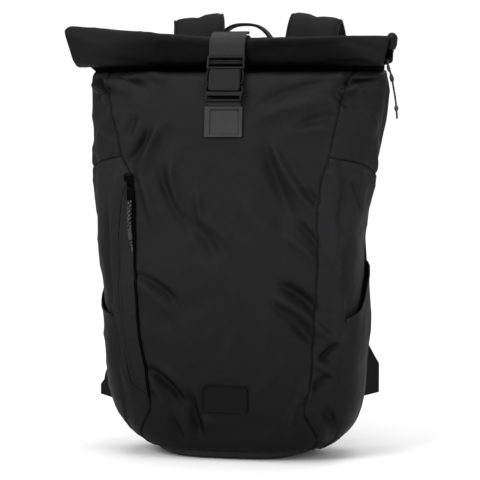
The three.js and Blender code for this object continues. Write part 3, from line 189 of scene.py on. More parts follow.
# Folds of the cloth in millimetres: from one end to the other as distance round from the middle of the front
# and height, the breadth of the flank below or left of the line and of the other, the rise, and the bow
FOLD_SHARE = 2.2
FOLDS = np.array([
    (50, 331, 92, 272, 7, 5, 4.6, -3),
    (43, 330, 70, 262, 11, 8, -4.2, -2),
    (82, 287, 97, 273, 4, 5, -3.2, 0),
    (76, 254, 98, 229, 5, 4, -3.4, 2),
    (64, 241, 95, 214, 6, 6, 3.0, 2),
    (60, 188, 97, 162, 5, 7, -4.6, 2),
    (55, 175, 96, 148, 6, 6, 4.2, 2),
    (50, 168, 90, 139, 7, 7, -2.6, 2),
    (70, 147, 94, 128, 6, 6, -2.4, 1),
    (40, 380, 108, 402, 7, 5, -1.8, 3),
    (36, 362, 110, 380, 7, 9, 2.2, 4),
    (76, 355, 117, 366, 6, 5, -2.0, 2),
    (62, 345, 112, 352, 8, 6, 1.6, 2),
    (18, 275, 56, 235, 12, 9, 2.0, -2),
    (40, 283, 68, 244, 9, 9, -1.8, 0),
    (-77, 349, -95, 311, 4, 7, 3.8, 2),
    (-86, 349, -107, 317, 5, 4, -3.6, 2),
    (-62, 352, -84, 322, 6, 9, -2.0, 0),
    (-101, 364, -110, 345, 5, 5, -2.0, 0),
    (-60, 314, -49, 267, 7, 6, 3.2, -2),
    (-73, 307, -38, 242, 6, 8, -3.0, -3),
    (-30, 283, -26, 257, 6, 5, 2.4, 0),
    (-28, 259, 9, 228, 6, 7, 2.6, 3),
    (-38, 255, -11, 221, 7, 7, -2.6, 2),
    (-95, 307, -77, 250, 5, 8, 2.0, 0),
    (-96, 196, -55, 170, 6, 5, -3.4, 3),
    (-88, 183, -52, 151, 7, 7, 3.0, 3),
    (-82, 96, -44, 62, 5, 6, -3.2, 3),
    (-81, 86, -61, 61, 6, 5, 2.6, 0),
    (-71, 98, -40, 68, 6, 6, 2.2, 3),
    (-30, 75, -19, 31, 6, 7, 2.4, 2),
    (-39, 72, -28, 26, 6, 6, -3.0, 2),
    (-43, 53, -39, 20, 6, 6, 2.0, 0),
    (-59, 46, -47, 20, 6, 5, -2.2, 0),
    (92, 84, 66, 34, 8, 6, 4.4, 2),
    (86, 71, 73, 40, 5, 4, -3.6, 0),
    (-30, 214, 13, 170, 14, 14, 1.8, 4),
    (4, 194, -4, 170, 9, 9, -1.2, 0),
    (-20, 172, -72, 148, 12, 10, -1.6, 0),
    (-122, 421, -73, 404, 5, 6, 4.2, 2),
    (-134, 413, -94, 398, 4, 5, -3.6, 2),
    (-140, 402, -108, 388, 5, 6, 2.6, 0),
    (122, 182, 121, 118, 7, 6, 2.6, 0),
    (97, 146, 117, 130, 7, 5, 2.8, 0),
    (121, 128, 99, 108, 5, 6, -3.4, 0),
    (96, 112, 116, 93, 6, 6, 2.4, 0),
    (114, 94, 94, 83, 5, 6, -2.6, 0),
    (112, 330, 118, 282, 9, 7, 2.0, 0),
    (128, 300, 122, 252, 6, 8, -2.2, 0),
    (137, 300, 152, 268, 6, 6, -2.4, 0),
    (118, 250, 116, 205, 8, 7, 2.0, 0),
    (134, 236, 130, 190, 8, 6, -1.8, 0),
    (112, 408, 142, 384, 8, 6, 3.0, 4),
    (120, 396, 160, 408, 5, 8, -4.4, 2),
    (118, 388, 156, 398, 5, 4, 2.6, 2),
    (112, 392, 128, 374, 5, 4, -2.4, 0),
    (126, 384, 150, 372, 6, 8, -2.2, 0),
    (140, 380, 160, 350, 9, 8, 2.4, 0),
    (-156, 408, -138, 391, 5, 5, -4.2, 0),
    (-158, 399, -134, 382, 5, 4, 3.0, 2),
    (-150, 386, -126, 396, 4, 4, -2.2, 0),
    (-130, 372, -150, 330, 8, 8, 2.0, 0),
    (-122, 340, -140, 352, 7, 6, -1.6, 0),
    (-136, 262, -133, 168, 3, 5, -2.8, -3),
    (-124, 300, -128, 250, 6, 7, 1.8, 0),
    (-121, 232, -118, 190, 6, 6, -1.6, 0),
    (-118, 110, -104, 70, 8, 7, 1.8, 0),
    (-128, 140, -120, 96, 8, 8, -1.6, 0),
    (106, 60, 120, 40, 7, 6, -2.2, 0),
    (98, 50, 108, 26, 5, 6, 1.8, 0),
    (0, 46, 48, 40, 14, 10, -1.4, 3),
    (170, 330, 178, 270, 10, 9, 2.2, 0),
    (186, 400, 196, 340, 9, 9, -2.4, 0),
    (-176, 396, -190, 330, 9, 9, -2.4, 0),
    (-168, 330, -176, 262, 10, 9, 2.2, 0),
]) / 1000

# Sections along the roll: share of its length, then height, depth, lift and lean as in the body's tables
ROLL_SECTIONS = np.array([
    (-0.494, 1.36, 0.66, 0, -0.32),
    (-0.455, 1.33, 0.8, 0, -0.23),
    (-0.38, 1.25, 0.94, 0, -0.09),
    (-0.27, 1.15, 1, 0, 0),
    (-0.13, 1.05, 1, 0, 0),
    (-0.007, 0.97, 0.97, 0, 0),
    (0.12, 0.98, 1, 0, 0),
    (0.27, 1, 1, 0, 0),
    (0.39, 1, 0.95, 0, 0.12),
    (0.455, 0.98, 0.84, 0.02, 0.28),
])

# Middle line of a shoulder strap: out as a share of the width, away of the depth, up of the height, breadth
# as a share of SHOULDER_WIDTH, and the drop of its outer edge in degrees
SHOULDER_LINE = np.array([
    (0.165, 0, 0.83, 1, 0),
    (0.172, 0, 0.885, 1, 0),
    (0.185, 0.015, 0.955, 1, 2),
    (0.2, 0.05, 1.04, 1, 5),
    (0.213, 0.115, 1.115, 1, 9),
    (0.22, 0.2, 1.14, 1, 9),
    (0.226, 0.29, 1.11, 1, 8),
    (0.236, 0.35, 1.03, 1, 5),
    (0.258, 0.37, 0.89, 1, 0),
    (0.283, 0.34, 0.73, 0.98, 0),
    (0.31, 0.28, 0.56, 0.93, 0),
    (0.332, 0.225, 0.42, 0.86, 0),
    (0.338, 0.2, 0.36, 0.8, 0),
])

# Chosen points of the two pull cords in millimetres, from where each leaves its pull to its far end
FRONT_CORD = np.array([
    (-103.6, -63.6, 275.1),
    (-103.9, -64.2, 268),
    (-104, -64.8, 260),
    (-103.9, -65.2, 252),
    (-103.5, -65.4, 246),
    (-103.2, -65.5, 243),
    (-102.6, -65.7, 238),
    (-101.9, -65.8, 232.7),
    (-101.2, -65.9, 229.5),
    (-100.6, -66, 226),
    (-100.1, -66, 221.5),
]) / 1000
ROLL_CORD = np.array([
    (165, -21.4, 424.1),
    (165.1, -21.6, 418.5),
    (166, -20.8, 413.6),
    (167.6, -19.2, 409.8),
    (168.7, -18.1, 404.5),
    (169.7, -17.2, 399.2),
    (171, -16.5, 391.5),
    (172.2, -16, 384),
    (173.1, -15.8, 377),
    (173.4, -15.6, 373),
    (173.7, -15.4, 369.2),
    (174, -15.1, 365.5),
    (174.1, -15, 362),
]) / 1000


def smooth_column(xs, ys):
    """A curve through a table's column that never swings past its neighbours: each slope is the harmonic
    mean of the two steps beside it, or none where they change sign, and the pieces are Hermite cubics."""
    xs, ys = np.asarray(xs, float), np.asarray(ys, float)
    steps = np.diff(ys) / np.diff(xs)
    before, after = np.r_[steps[:1], steps], np.r_[steps, steps[-1:]]
    product = before * after
    alike = product > 0
    slopes = np.where(alike, 2 * product / np.where(alike, before + after, 1), 0)

    def at(x):
        x = np.asarray(x, float)
        i = np.clip(np.searchsorted(xs, x) - 1, 0, len(xs) - 2)
        width = xs[i + 1] - xs[i]
        u = np.clip((x - xs[i]) / width, 0, 1)
        bend = u * (1 - u) ** 2 * slopes[i] - u * u * (1 - u) * slopes[i + 1]
        return ys[i] + (ys[i + 1] - ys[i]) * u * u * (3 - 2 * u) + bend * width

    return at


def smooth_step(value, low, high):
    """0 below low, 1 above high, and 3u^2 - 2u^3 between."""
    u = np.clip((np.asarray(value, float) - low) / (high - low), 0, 1)
    return u * u * (3 - 2 * u)


def signed_power(value, power):
    """The power of a value's size, with the value's sign."""
    return np.sign(value) * np.abs(value) ** power


def unit(vectors):
    """Each vector divided by its length."""
    return vectors / np.maximum(np.linalg.norm(vectors, axis=-1, keepdims=True), 1e-12)


def distances(points):
    """The distance along a line at each of its points."""
    return np.r_[0, np.cumsum(np.linalg.norm(np.diff(points, axis=0), axis=1))]


# The body surface
LAST_LEVEL = len(BODY_SECTIONS) - 1
LEVEL_STEPS = 24
ANGLE_STEPS = 1440
index = np.arange(LAST_LEVEL + 1)
body_curves = [smooth_column(index, BODY_SECTIONS[:, k]) for k in range(7)]
table_levels = np.linspace(0, LAST_LEVEL, LAST_LEVEL * LEVEL_STEPS + 1)


def body_table():
    """Rings of points at even shares of each ring's length, with the normals, for each table level. A ring is
    the superellipse |x/a|^n + |y/b|^n = 1 whose half sizes differ left and right, front and back."""
    up, left, right, front, back, shift, corner = [curve(table_levels)[:, None] for curve in body_curves]
    angle = np.pi / 2 + np.linspace(0, 2 * np.pi, ANGLE_STEPS + 1)[None, :]
    across, away = np.cos(angle), np.sin(angle)
    wide = BODY_WIDTH * np.where(across < 0, left, right)
    deep = BODY_DEPTH * np.where(away < 0, front, back) + COLLAR_HALF
    x = wide * signed_power(across, 2 / corner)
    y = BODY_DEPTH * shift + deep * signed_power(away, 2 / corner)
    run = np.cumsum(np.hypot(np.diff(x, axis=1), np.diff(y, axis=1)), axis=1)
    run = np.hstack([np.zeros_like(run[:, :1]), run])
    shares = np.linspace(0, 1, ANGLE_STEPS + 1)
    even = np.empty(x.shape + (3,))
    for row in range(len(x)):
        even[row, :, 0] = np.interp(shares * run[row, -1], run[row], x[row])
        even[row, :, 1] = np.interp(shares * run[row, -1], run[row], y[row])
    even[..., 2] = BODY_HEIGHT * up
    around = np.gradient(even, axis=1)
    around[:, 0] = around[:, -1] = (even[:, 1] - even[:, -2]) / 2
    normal = unit(np.cross(around, np.gradient(even, axis=0)))
    return even, normal, run, x


table_points, table_normals, table_runs, table_x = body_table()
table_lengths = table_runs[:, -1]


def ring_length(level):
    """The length of the body's ring at a level."""
    return np.interp(level, table_levels, table_lengths)


def level_at(z):
    """The level at a height."""
    return np.interp(z, table_points[:, 0, 2], table_levels)


def height_at(level):
    """The height of a level."""
    return np.interp(level, table_levels, table_points[:, 0, 2])


def run_table(x_of_level, on_front):
    """For each table level, the run at which its front or back half has the given x."""
    half, quarter = ANGLE_STEPS // 2, ANGLE_STEPS // 4
    found = np.empty(len(table_levels))
    for row, level in enumerate(table_levels):
        x = x_of_level(level)
        if on_front:
            part = slice(quarter, half + quarter + 1)
            found[row] = np.interp(x, table_x[row, part], table_runs[row, part])
        elif x < 0:
            found[row] = np.interp(-x, -table_x[row, : quarter + 1], table_runs[row, : quarter + 1])
        else:
            part = slice(half + quarter, ANGLE_STEPS + 1)
            found[row] = np.interp(-x, -table_x[row, part], table_runs[row, part])
    return lambda level: np.interp(level, table_levels, found)


def seam(table, column, on_front):
    """A seam's run for each level: the table's column is a share of the width, smoothed over the height."""
    curve = smooth_column(table[:, 0], table[:, column])
    return run_table(lambda level: BODY_WIDTH * curve(body_curves[0](level)), on_front)


front_left, front_right = seam(FRONT_SEAMS, 1, True), seam(FRONT_SEAMS, 2, True)
back_left, back_right = seam(BACK_SEAMS, 1, False), seam(BACK_SEAMS, 2, False)
front_middle = run_table(lambda level: 0.0, True)


def sampled(table, level, run):
    """The table's value between its four nearest entries."""
    level, run = np.broadcast_arrays(level, run)
    row = np.clip(level * LEVEL_STEPS, 0, len(table) - 1.000001)
    column = (run / ring_length(level)) % 1 * ANGLE_STEPS
    i, j = row.astype(int), np.minimum(column.astype(int), ANGLE_STEPS - 1)
    u, v = (row - i)[..., None], (column - j)[..., None]
    return ((table[i, j] * (1 - v) + table[i, j + 1] * v) * (1 - u)
            + (table[i + 1, j] * (1 - v) + table[i + 1, j + 1] * v) * u)


def crumple(s, z):
    """Small creases: ridges (1 - |sin|)^2 of slowly bent waves in several directions, each let in and out by
    a slower wave along it."""
    total = np.zeros(np.broadcast(s, z).shape)
    for k, (turn, pitch, rise) in enumerate([(24, 0.047, 0.5), (-38, 0.039, 0.45), (67, 0.055, 0.5),
                                             (-71, 0.043, 0.45), (8, 0.061, 0.35), (49, 0.031, 0.3),
                                             (-15, 0.035, 0.3), (-55, 0.027, 0.22)]):
        cos, sin = math.cos(math.radians(turn)), math.sin(math.radians(turn))
        along, beside = s * cos + z * sin, z * cos - s * sin
        wave = np.pi * beside / pitch + 0.9 * np.sin(2 * np.pi * along / (3.1 * pitch) + 1.7 * k)
        gate = 0.5 + 0.5 * np.sin(2 * np.pi * along / (4.3 * pitch) + 2.1 * k
                                  + 1.2 * np.sin(2 * np.pi * beside / (5.7 * pitch) + k))
        total += rise * gate ** 3 * ((1 - np.abs(np.sin(wave))) ** 2 - 0.27)
    return CREASE_RISE * total


def fold_rise(s, z):
    """Each fold is a bowed line from one point to another. Its profile falls off as exp(-d^2/b^2) with a
    breadth for each flank, and as exp(-t^4) along it."""
    total = np.zeros(np.broadcast(s, z).shape)
    for s0, z0, s1, z1, below, above, rise, bow in FOLDS:
        length = math.hypot(s1 - s0, z1 - z0)
        cos, sin = (s1 - s0) / length, (z1 - z0) / length
        along = ((s - s0) * cos + (z - z0) * sin) / length
        beside = (z - z0) * cos - (s - s0) * sin - 4 * bow * along * (1 - along)
        breadth = 0.88 * np.where(beside < 0, below, above)
        total += rise * np.exp(-(beside / breadth) ** 2 - (1.9 * (along - 0.5)) ** 4)
    return FOLD_SHARE * total


# Where a stiff patch keeps the cloth smooth, in metres: its middle across and up, and its half sizes
STIFF = ((PATCH_X, PATCH_Z, PATCH_HALF_WIDE, PATCH_HALF_HIGH),
         (LABEL_X, LABEL_Z, LABEL_HALF_WIDE, LABEL_HALF_HIGH))
STIFF_REACH = 0.012
CREASE_RISE = 0.0023


def free_share(s, z):
    """0 under a stiff patch, 1 at STIFF_REACH from it and beyond."""
    share = 1.0
    for s0, z0, half_wide, half_high in STIFF:
        beside = 1 - smooth_step(np.abs(s - s0), half_wide, half_wide + STIFF_REACH)
        above = 1 - smooth_step(np.abs(z - z0), half_high, half_high + STIFF_REACH)
        share = share * (1 - beside * above)
    return share


def skin(level, run, lift):
    """Points of the folded skin, pushed out by lift along the plain surface's normal."""
    point, normal = sampled(table_points, level, run), unit(sampled(table_normals, level, run))
    s, z = run - front_middle(level), point[..., 2]
    fade = smooth_step(z, BASE_SEAM, 4 * BASE_SEAM) * (1 - smooth_step(z, 0.975 * BODY_HEIGHT, BODY_HEIGHT))
    rise = fade * free_share(s, z) * (fold_rise(s, z) + crumple(s, z))
    return point + normal * (rise + lift)[..., None]


# Meshes
def add_object(name, data):
    """A new object of the scene, at the origin."""
    thing = bpy.data.objects.new(name, data)
    bpy.context.scene.collection.objects.link(thing)
    return thing


def grid_faces(rows, columns, wrapped=False):
    """Quads of a grid of points, facing along columns x rows; wrapped joins the last column to the first."""
    row = np.arange(rows - 1)[:, None]
    column = np.arange(columns if wrapped else columns - 1)[None, :]
    a = row * columns + column
    b = row * columns + (column + 1) % columns
    return np.stack([a, b, b + columns, a + columns], -1).reshape(-1, 4)


def piece(name, points, faces, material, uv):
    """A smooth mesh on the bag's body. uv is None or holds a pair in metres for each point."""
    mesh = bpy.data.meshes.new(name)
    mesh.from_pydata(np.asarray(points).reshape(-1, 3), [], faces)
    if uv is not None:
        corners = np.empty(len(mesh.loops), int)
        mesh.loops.foreach_get("vertex_index", corners)
        layer = mesh.uv_layers.new(name="cloth")
        layer.data.foreach_set("uv", np.asarray(uv, float).reshape(-1, 2)[corners].ravel())
    mesh.polygons.foreach_set("use_smooth", np.ones(len(mesh.polygons), bool))
    mesh.materials.append(material)
    mesh.update()
    thing = add_object(name, mesh)
    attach(thing, "root")
    return thing


def slab(name, outer, inner, material, uv):
    """A closed sheet between two equal grids: outer faces out, and the four edges join it to inner."""
    rows, columns = outer.shape[:2]
    front = grid_faces(rows, columns)
    n = rows * columns
    index = np.arange(n).reshape(rows, columns)

    def rim(line):
        return np.stack([line[1:], line[:-1], line[:-1] + n, line[1:] + n], -1)

    rims = [rim(index[0]), rim(index[-1])[:, ::-1], rim(index[:, 0])[:, ::-1], rim(index[:, -1])]
    faces = np.vstack([front, front[:, ::-1] + n, *rims])
    points = np.concatenate([outer.reshape(-1, 3), inner.reshape(-1, 3)])
    return piece(name, points, faces, material, np.concatenate([uv.reshape(-1, 2)] * 2))


def tube(name, rings, material, uv):
    """A closed solid from rows of rings, with a pole at the middle of each end."""
    rows, columns = rings.shape[:2]
    points = np.concatenate([rings.reshape(-1, 3), rings[0].mean(0)[None], rings[-1].mean(0)[None]])
    k = np.arange(columns)
    after = (k + 1) % columns
    first, last = rows * columns, rows * columns + 1
    caps = [np.stack([np.full(columns, first), after, k], -1),
            np.stack([np.full(columns, last), (rows - 1) * columns + k, (rows - 1) * columns + after], -1)]
    faces = [*grid_faces(rows, columns, True).tolist(), *caps[0].tolist(), *caps[1].tolist()]
    if uv is not None:
        uv = np.concatenate([uv.reshape(-1, 2), uv[0].mean(0)[None], uv[-1].mean(0)[None]])
    return piece(name, points, faces, material, uv)


def smooth_line(points, count):
    """A centripetal Catmull-Rom curve through the points, at even steps of its length."""
    points = np.asarray(points, float)
    ends = np.vstack([2 * points[0] - points[1], points, 2 * points[-1] - points[-2]])
    knots = np.r_[0, np.cumsum(np.linalg.norm(np.diff(ends, axis=0), axis=1) ** 0.5)]
    fine = []
    for i in range(1, len(ends) - 2):
        t = np.linspace(knots[i], knots[i + 1], 24, endpoint=i == len(ends) - 3)[:, None]

        def mix(a, b, low, high):
            return a * (high - t) / (high - low) + b * (t - low) / (high - low)

        p = ends[i - 1: i + 3]
        k = knots[i - 1: i + 3]
        a = [mix(p[j], p[j + 1], k[j], k[j + 1]) for j in range(3)]
        b = [mix(a[j], a[j + 1], k[j], k[j + 2]) for j in range(2)]
        fine.append(mix(b[0], b[1], k[1], k[2]))
    fine = np.vstack(fine)
    run = distances(fine)
    even = np.linspace(0, run[-1], count)
    return np.stack([np.interp(even, run, fine[:, k]) for k in range(3)], -1)


def sweep(name, line, across, outline, material):
    """An outline carried along a line. At each point the outline's first number goes along across, made
    square to the line, and its second along line x across. outline is one for all rows or one for each."""
    ahead = unit(np.gradient(line, axis=0))
    across = np.broadcast_to(across, line.shape)
    across = unit(across - ahead * np.sum(across * ahead, -1, keepdims=True))
    outward = np.cross(ahead, across)
    outline = np.broadcast_to(outline, (len(line),) + outline.shape[-2:])
    rings = line[:, None] + across[:, None] * outline[..., :1] + outward[:, None] * outline[..., 1:]
    uv = np.stack(np.broadcast_arrays(outline[..., 0], distances(line)[:, None]), -1)
    return tube(name, rings, material, uv)


def band_outline(width, thick, count=9):
    """The outline of a woven band: flat faces and half-round edges, anticlockwise."""
    half, round_off = width / 2, thick / 2
    turn = np.linspace(-np.pi / 2, np.pi / 2, count)
    right = np.stack([half - round_off + round_off * np.cos(turn), round_off * np.sin(turn)], -1)
    flat = np.linspace(half - round_off, round_off - half, 13)[1:-1]
    top = np.stack([flat, np.full(11, round_off)], -1)
    return np.vstack([right, top, -right, -top])


def cord_outline(diameter, count=12):
    """A circle of points, anticlockwise."""
    turn = np.linspace(0, 2 * np.pi, count, endpoint=False)
    return np.stack([np.cos(turn), np.sin(turn)], -1) * diameter / 2


# Finishes
class Tone:
    """One value inside a material. Sums and products of it add the Math nodes that work them out."""

    def __init__(self, finish, socket):
        self.finish, self.socket = finish, socket

    def _math(self, operation, *values):
        return self.finish.node("ShaderNodeMath", dict(operation=operation), dict(enumerate(values)))

    def __add__(self, other):
        return self._math("ADD", self, other)

    def __sub__(self, other):
        return self._math("SUBTRACT", self, other)

    def __rsub__(self, other):
        return self._math("SUBTRACT", other, self)

    def __mul__(self, other):
        return self._math("MULTIPLY", self, other)

    __radd__, __rmul__ = __add__, __mul__

    def sine(self):
        return self._math("SINE", self)

    def size(self):
        return self._math("ABSOLUTE", self)

    def ramp(self, low, high):
        """0 at low, 1 at high, smooth between."""
        values = {"Value": self, "From Min": low, "From Max": high}
        return self.finish.node("ShaderNodeMapRange", dict(interpolation_type="SMOOTHSTEP"), values)


class Finish:
    """A material in the making: a Principled shader, and node() for everything that feeds it."""

    def __init__(self, name, color, roughness, specular, **constants):
        self.material = bpy.data.materials.new(name)
        self.material.use_nodes = True
        self.tree = self.material.node_tree
        self.shader = self.tree.nodes["Principled BSDF"]
        self.set(self.shader, {"Base Color": (*color, 1), "Roughness": roughness,
                               "Specular IOR Level": specular, **constants})

    def set(self, node, values):
        """Sets each named socket to a value or links a Tone to it."""
        for key, value in values.items():
            socket = node.inputs[key]
            if isinstance(value, Tone):
                self.tree.links.new(value.socket, socket)
            else:
                socket.default_value = value

    def node(self, kind, settings=None, values=None, output=0):
        """Adds a node: its settings first, then the values or links of its sockets."""
        made = self.tree.nodes.new(kind)
        for key, value in (settings or {}).items():
            setattr(made, key, value)
        self.set(made, values or {})
        return Tone(self, made.outputs[output])

    def place(self, turn=0.0, source="Object"):
        """Object or cloth coordinates, turned about Z."""
        if source == "Object":
            coordinates = self.node("ShaderNodeTexCoord", output="Object")
        else:
            coordinates = self.node("ShaderNodeUVMap", dict(uv_map="cloth"))
        values = {"Vector": coordinates, "Rotation": (0, 0, math.radians(turn))}
        return self.node("ShaderNodeMapping", values=values)

    def axis(self, vector, name):
        """One of a vector's three numbers."""
        return self.node("ShaderNodeSeparateXYZ", values={"Vector": vector}, output=name)

    def noise(self, vector, scale, detail, roughness=0.5, distortion=0.0):
        values = {"Vector": vector, "Scale": scale, "Detail": detail, "Roughness": roughness,
                  "Distortion": distortion}
        return self.node("ShaderNodeTexNoise", values=values)

    def blend(self, share, low, high):
        """A colour between two, each a triple or a Tone."""
        made = self.tree.nodes.new("ShaderNodeMix")
        made.data_type = "RGBA"
        low, high = [(*c, 1) if isinstance(c, tuple) else c for c in (low, high)]
        self.set(made, {0: share, 6: low, 7: high})
        return Tone(self, made.outputs[2])

    def bump(self, *layers):
        """Stacked bumps, each a (height, distance in metres, strength)."""
        normal = None
        for height, distance, strength in layers:
            values = {"Height": height, "Distance": distance, "Strength": strength}
            if normal is not None:
                values["Normal"] = normal
            normal = self.node("ShaderNodeBump", values=values)
        self.set(self.shader, {"Normal": normal})


WEAVE = 0.0006
RIB = 0.0011
MESH_PITCH = 0.0026


def scaled(color, share):
    """A colour times a number."""
    return tuple(c * share for c in color)


def nylon(name, color, roughness, crease=1.0, specular=0.12, painted_low_shade=0.0, ends_and_painted_top_light=1.0):
    """Coated nylon: a plain weave of crossing sines, soft creases, and colour that darkens by
    painted_low_shade towards the base, as painted shade, and is ends_and_painted_top_light times as light at
    the roll's two ends and less so along its top, where it is painted light."""
    made = Finish(name, color, roughness, specular)
    cloth, solid = made.place(source="cloth"), made.place()
    pick = 2 * math.pi / WEAVE
    threads = (made.axis(cloth, "X") * pick).sine() * (made.axis(cloth, "Y") * pick).sine()
    wave = made.noise(solid, 16, 3, 0.55, 0.5)
    fine = made.noise(solid, 52, 3, 0.6, 0.8)
    patchy = made.noise(solid, 9, 2)
    tint = made.blend(patchy.ramp(0.3, 0.7), scaled(color, 0.93), scaled(color, 1.08))
    # Painted shade: the colour darkens towards the base
    if painted_low_shade:
        height = made.axis(solid, "Z").ramp(0.0, 0.26)
        tint = made.blend(height, scaled(color, 1 - painted_low_shade), tint)
    # Lighter at the roll's two ends, and painted light along its top
    if ends_and_painted_top_light != 1:
        across = made.axis(solid, "X")
        light_ends_and_painted_top = (across * -1).ramp(0.06, 0.165) + across.ramp(0.10, 0.158)
        light_ends_and_painted_top = light_ends_and_painted_top + made.axis(solid, "Z").ramp(0.441, 0.449) * 0.4
        tint = made.blend(light_ends_and_painted_top, tint, scaled(color, ends_and_painted_top_light))
    made.set(made.shader, {"Base Color": tint, "Roughness": fine * 0.16 + (roughness - 0.08)})
    made.bump((wave, 0.006 * crease, 0.55), (fine, 0.0016 * crease, 0.5), (threads, 0.00009, 0.35))
    return made.material


def webbing_finish(name, color):
    """Woven band: fine ribs across it and a herringbone of two slanted waves."""
    made = Finish(name, color, 0.75, 0.12, **{"Sheen Weight": 0.06, "Sheen Roughness": 0.5})
    cloth = made.place(source="cloth")
    across, along = made.axis(cloth, "X"), made.axis(cloth, "Y")
    rib = (along * (2 * math.pi / RIB)).sine()
    chevron = ((across.size() * 1900) + (along * 2300)).sine()
    grain = made.noise(made.place(), 420, 2)
    tint = made.blend(rib * 0.25 + chevron * 0.2 + 0.5, scaled(color, 0.8), scaled(color, 1.2))
    made.set(made.shader, {"Base Color": tint})
    made.bump((rib, 0.00022, 0.5), (chevron, 0.00012, 0.4), (grain, 0.0002, 0.3))
    return made.material


def moulded(name, color, roughness, grain, specular=0.5):
    """Moulded plastic or rubber: fine pebbling and slight wear that dulls it in patches."""
    made = Finish(name, color, roughness, specular)
    solid = made.place()
    pebble, wear = made.noise(solid, 900, 2, 0.6), made.noise(solid, 60, 3)
    tint = made.blend(wear.ramp(0.35, 0.75), color, scaled(color, 1.25))
    made.set(made.shader, {"Base Color": tint, "Roughness": wear * 0.15 + (roughness - 0.07)})
    made.bump((pebble, 0.0001, grain))
    return made.material


def mesh_cloth(name, color):
    """Spacer mesh: rows of small round holes, with painted shade inside them."""
    made = Finish(name, color, 0.9, 0.2, **{"Sheen Weight": 0.2, "Sheen Roughness": 0.5})
    cloth = made.place(source="cloth", turn=45)
    pitch = 2 * math.pi / MESH_PITCH
    dots = ((made.axis(cloth, "X") * pitch).sine() * (made.axis(cloth, "Y") * pitch).sine()).size()
    # The holes are darkened with painted shade
    hole = dots.ramp(0.35, 0.8)
    made.set(made.shader, {"Base Color": made.blend(hole, color, scaled(color, 0.35))})
    made.bump((1 - hole, 0.0006, 0.6), (made.noise(made.place(), 700, 2), 0.0002, 0.3))
    return made.material


def braid(name, light, dark):
    """Braided cord: two slanted waves crossing round it, with flecks of a darker yarn."""
    made = Finish(name, light, 0.8, 0.3)
    cloth = made.place(source="cloth")
    round_cord, along = made.axis(cloth, "X"), made.axis(cloth, "Y")
    one = (round_cord * 3 + along * 3100).sine()
    other = (round_cord * -3 + along * 3100).sine()
    yarn = (one * other).ramp(-0.45, 0.3)
    fleck = made.noise(made.place(), 620, 1).ramp(0.49, 0.56)
    tint = made.blend(fleck * yarn, dark, light)
    made.set(made.shader, {"Base Color": tint})
    made.bump((yarn, 0.0003, 0.8))
    return made.material


# SHELL and SIDE darken towards the base with painted shade
SHELL = nylon("shell nylon", (0.0078, 0.0078, 0.0081), 0.62, painted_low_shade=0.8)
SIDE = nylon("side nylon", (0.0096, 0.0097, 0.0106), 0.62, painted_low_shade=0.8)
BASE = nylon("base nylon", (0.0105, 0.0105, 0.0109), 0.62)
# ROLL is lighter at its two ends and has painted light along its top
ROLL = nylon("roll nylon", (0.0014, 0.0014, 0.00143), 0.6, crease=0.9, specular=0.05, ends_and_painted_top_light=6.2)
YOKE = nylon("yoke nylon", (0.0078, 0.0078, 0.0081), 0.62)
PAD = mesh_cloth("spacer mesh", (0.0105, 0.0105, 0.011))
STRAP_CLOTH = nylon("strap nylon", (0.0072, 0.0072, 0.0075), 0.7, crease=0.6)
BINDING = webbing_finish("binding tape", (0.0035, 0.0035, 0.0038))
BAND = webbing_finish("webbing", (0.0215, 0.0215, 0.0223))
HANDLE = webbing_finish("handle webbing", (0.0055, 0.0055, 0.0058))
PLASTIC = moulded("buckle plastic", (0.0030, 0.0030, 0.0033), 0.42, 0.25, 0.12)
PATCH = moulded("patch rubber", (0.0205, 0.0205, 0.0213), 0.5, 0.5, 0.25)
LABEL = moulded("label rubber", (0.0017, 0.0017, 0.0019), 0.5, 0.4, 0.1)
ZIP = moulded("zip black", (0.0009, 0.0009, 0.0011), 0.32, 0.2, 0.035)
CORD = braid("pull cord", (0.075, 0.075, 0.078), (0.0015, 0.0015, 0.0018))
SLEEVE = moulded("cord sleeve", (0.020, 0.020, 0.021), 0.5, 0.3, 0.3)
BEAD = moulded("cord bead", (0.022, 0.022, 0.018), 0.4, 0.3)


# Camera first, then the cords
CAMERA_ROUND, CAMERA_UP = math.radians(12), math.radians(4)
CAMERA_AWAY = 2.2
CAMERA_AIM = (0, 0, 0.235)


def camera():
    """At the photo's angle: round to the right, a little up and some metres away."""
    data = bpy.data.cameras.new("camera")
    data.sensor_width, data.lens = 36, 152.77
    data.shift_x, data.shift_y = 0.0044, -0.0084
    thing = add_object("camera", data)
    level = math.cos(CAMERA_UP)
    back = np.array([math.sin(CAMERA_ROUND) * level, -math.cos(CAMERA_ROUND) * level, math.sin(CAMERA_UP)])
    thing.location = np.array(CAMERA_AIM) + CAMERA_AWAY * back
    thing.rotation_euler = (math.pi / 2 - CAMERA_UP, 0, CAMERA_ROUND)
    bpy.context.scene.camera = thing


camera()


def cord_mesh(name, points, diameter, count):
    """A round cord through the points, and its middle line."""
    line = smooth_line(points, count)
    return sweep(name, line, (1, 0, 0), cord_outline(diameter), CORD), line


def bead(name, centre, ahead, profile, material):
    """A body of revolution round ahead: profile holds (distance along, radius) pairs in metres."""
    ahead = unit(np.asarray(ahead, float))
    side = unit(np.cross(ahead, (0, 1, 0.2)))
    other = np.cross(ahead, side)
    turn = np.linspace(0, 2 * np.pi, 20, endpoint=False)
    ring = np.cos(turn)[:, None] * side + np.sin(turn)[:, None] * other
    profile = np.asarray(profile, float)
    rings = centre + profile[:, :1, None] * ahead + profile[:, 1:, None] * ring
    return tube(name, rings, material, None)


def knot_profile(length, width):
    """A bead's profile: half a turn of a circle stretched to a length and a width."""
    turn = np.linspace(0.06, np.pi - 0.06, 15)
    return np.stack([-np.cos(turn) * length / 2, np.sin(turn) * width / 2], -1)


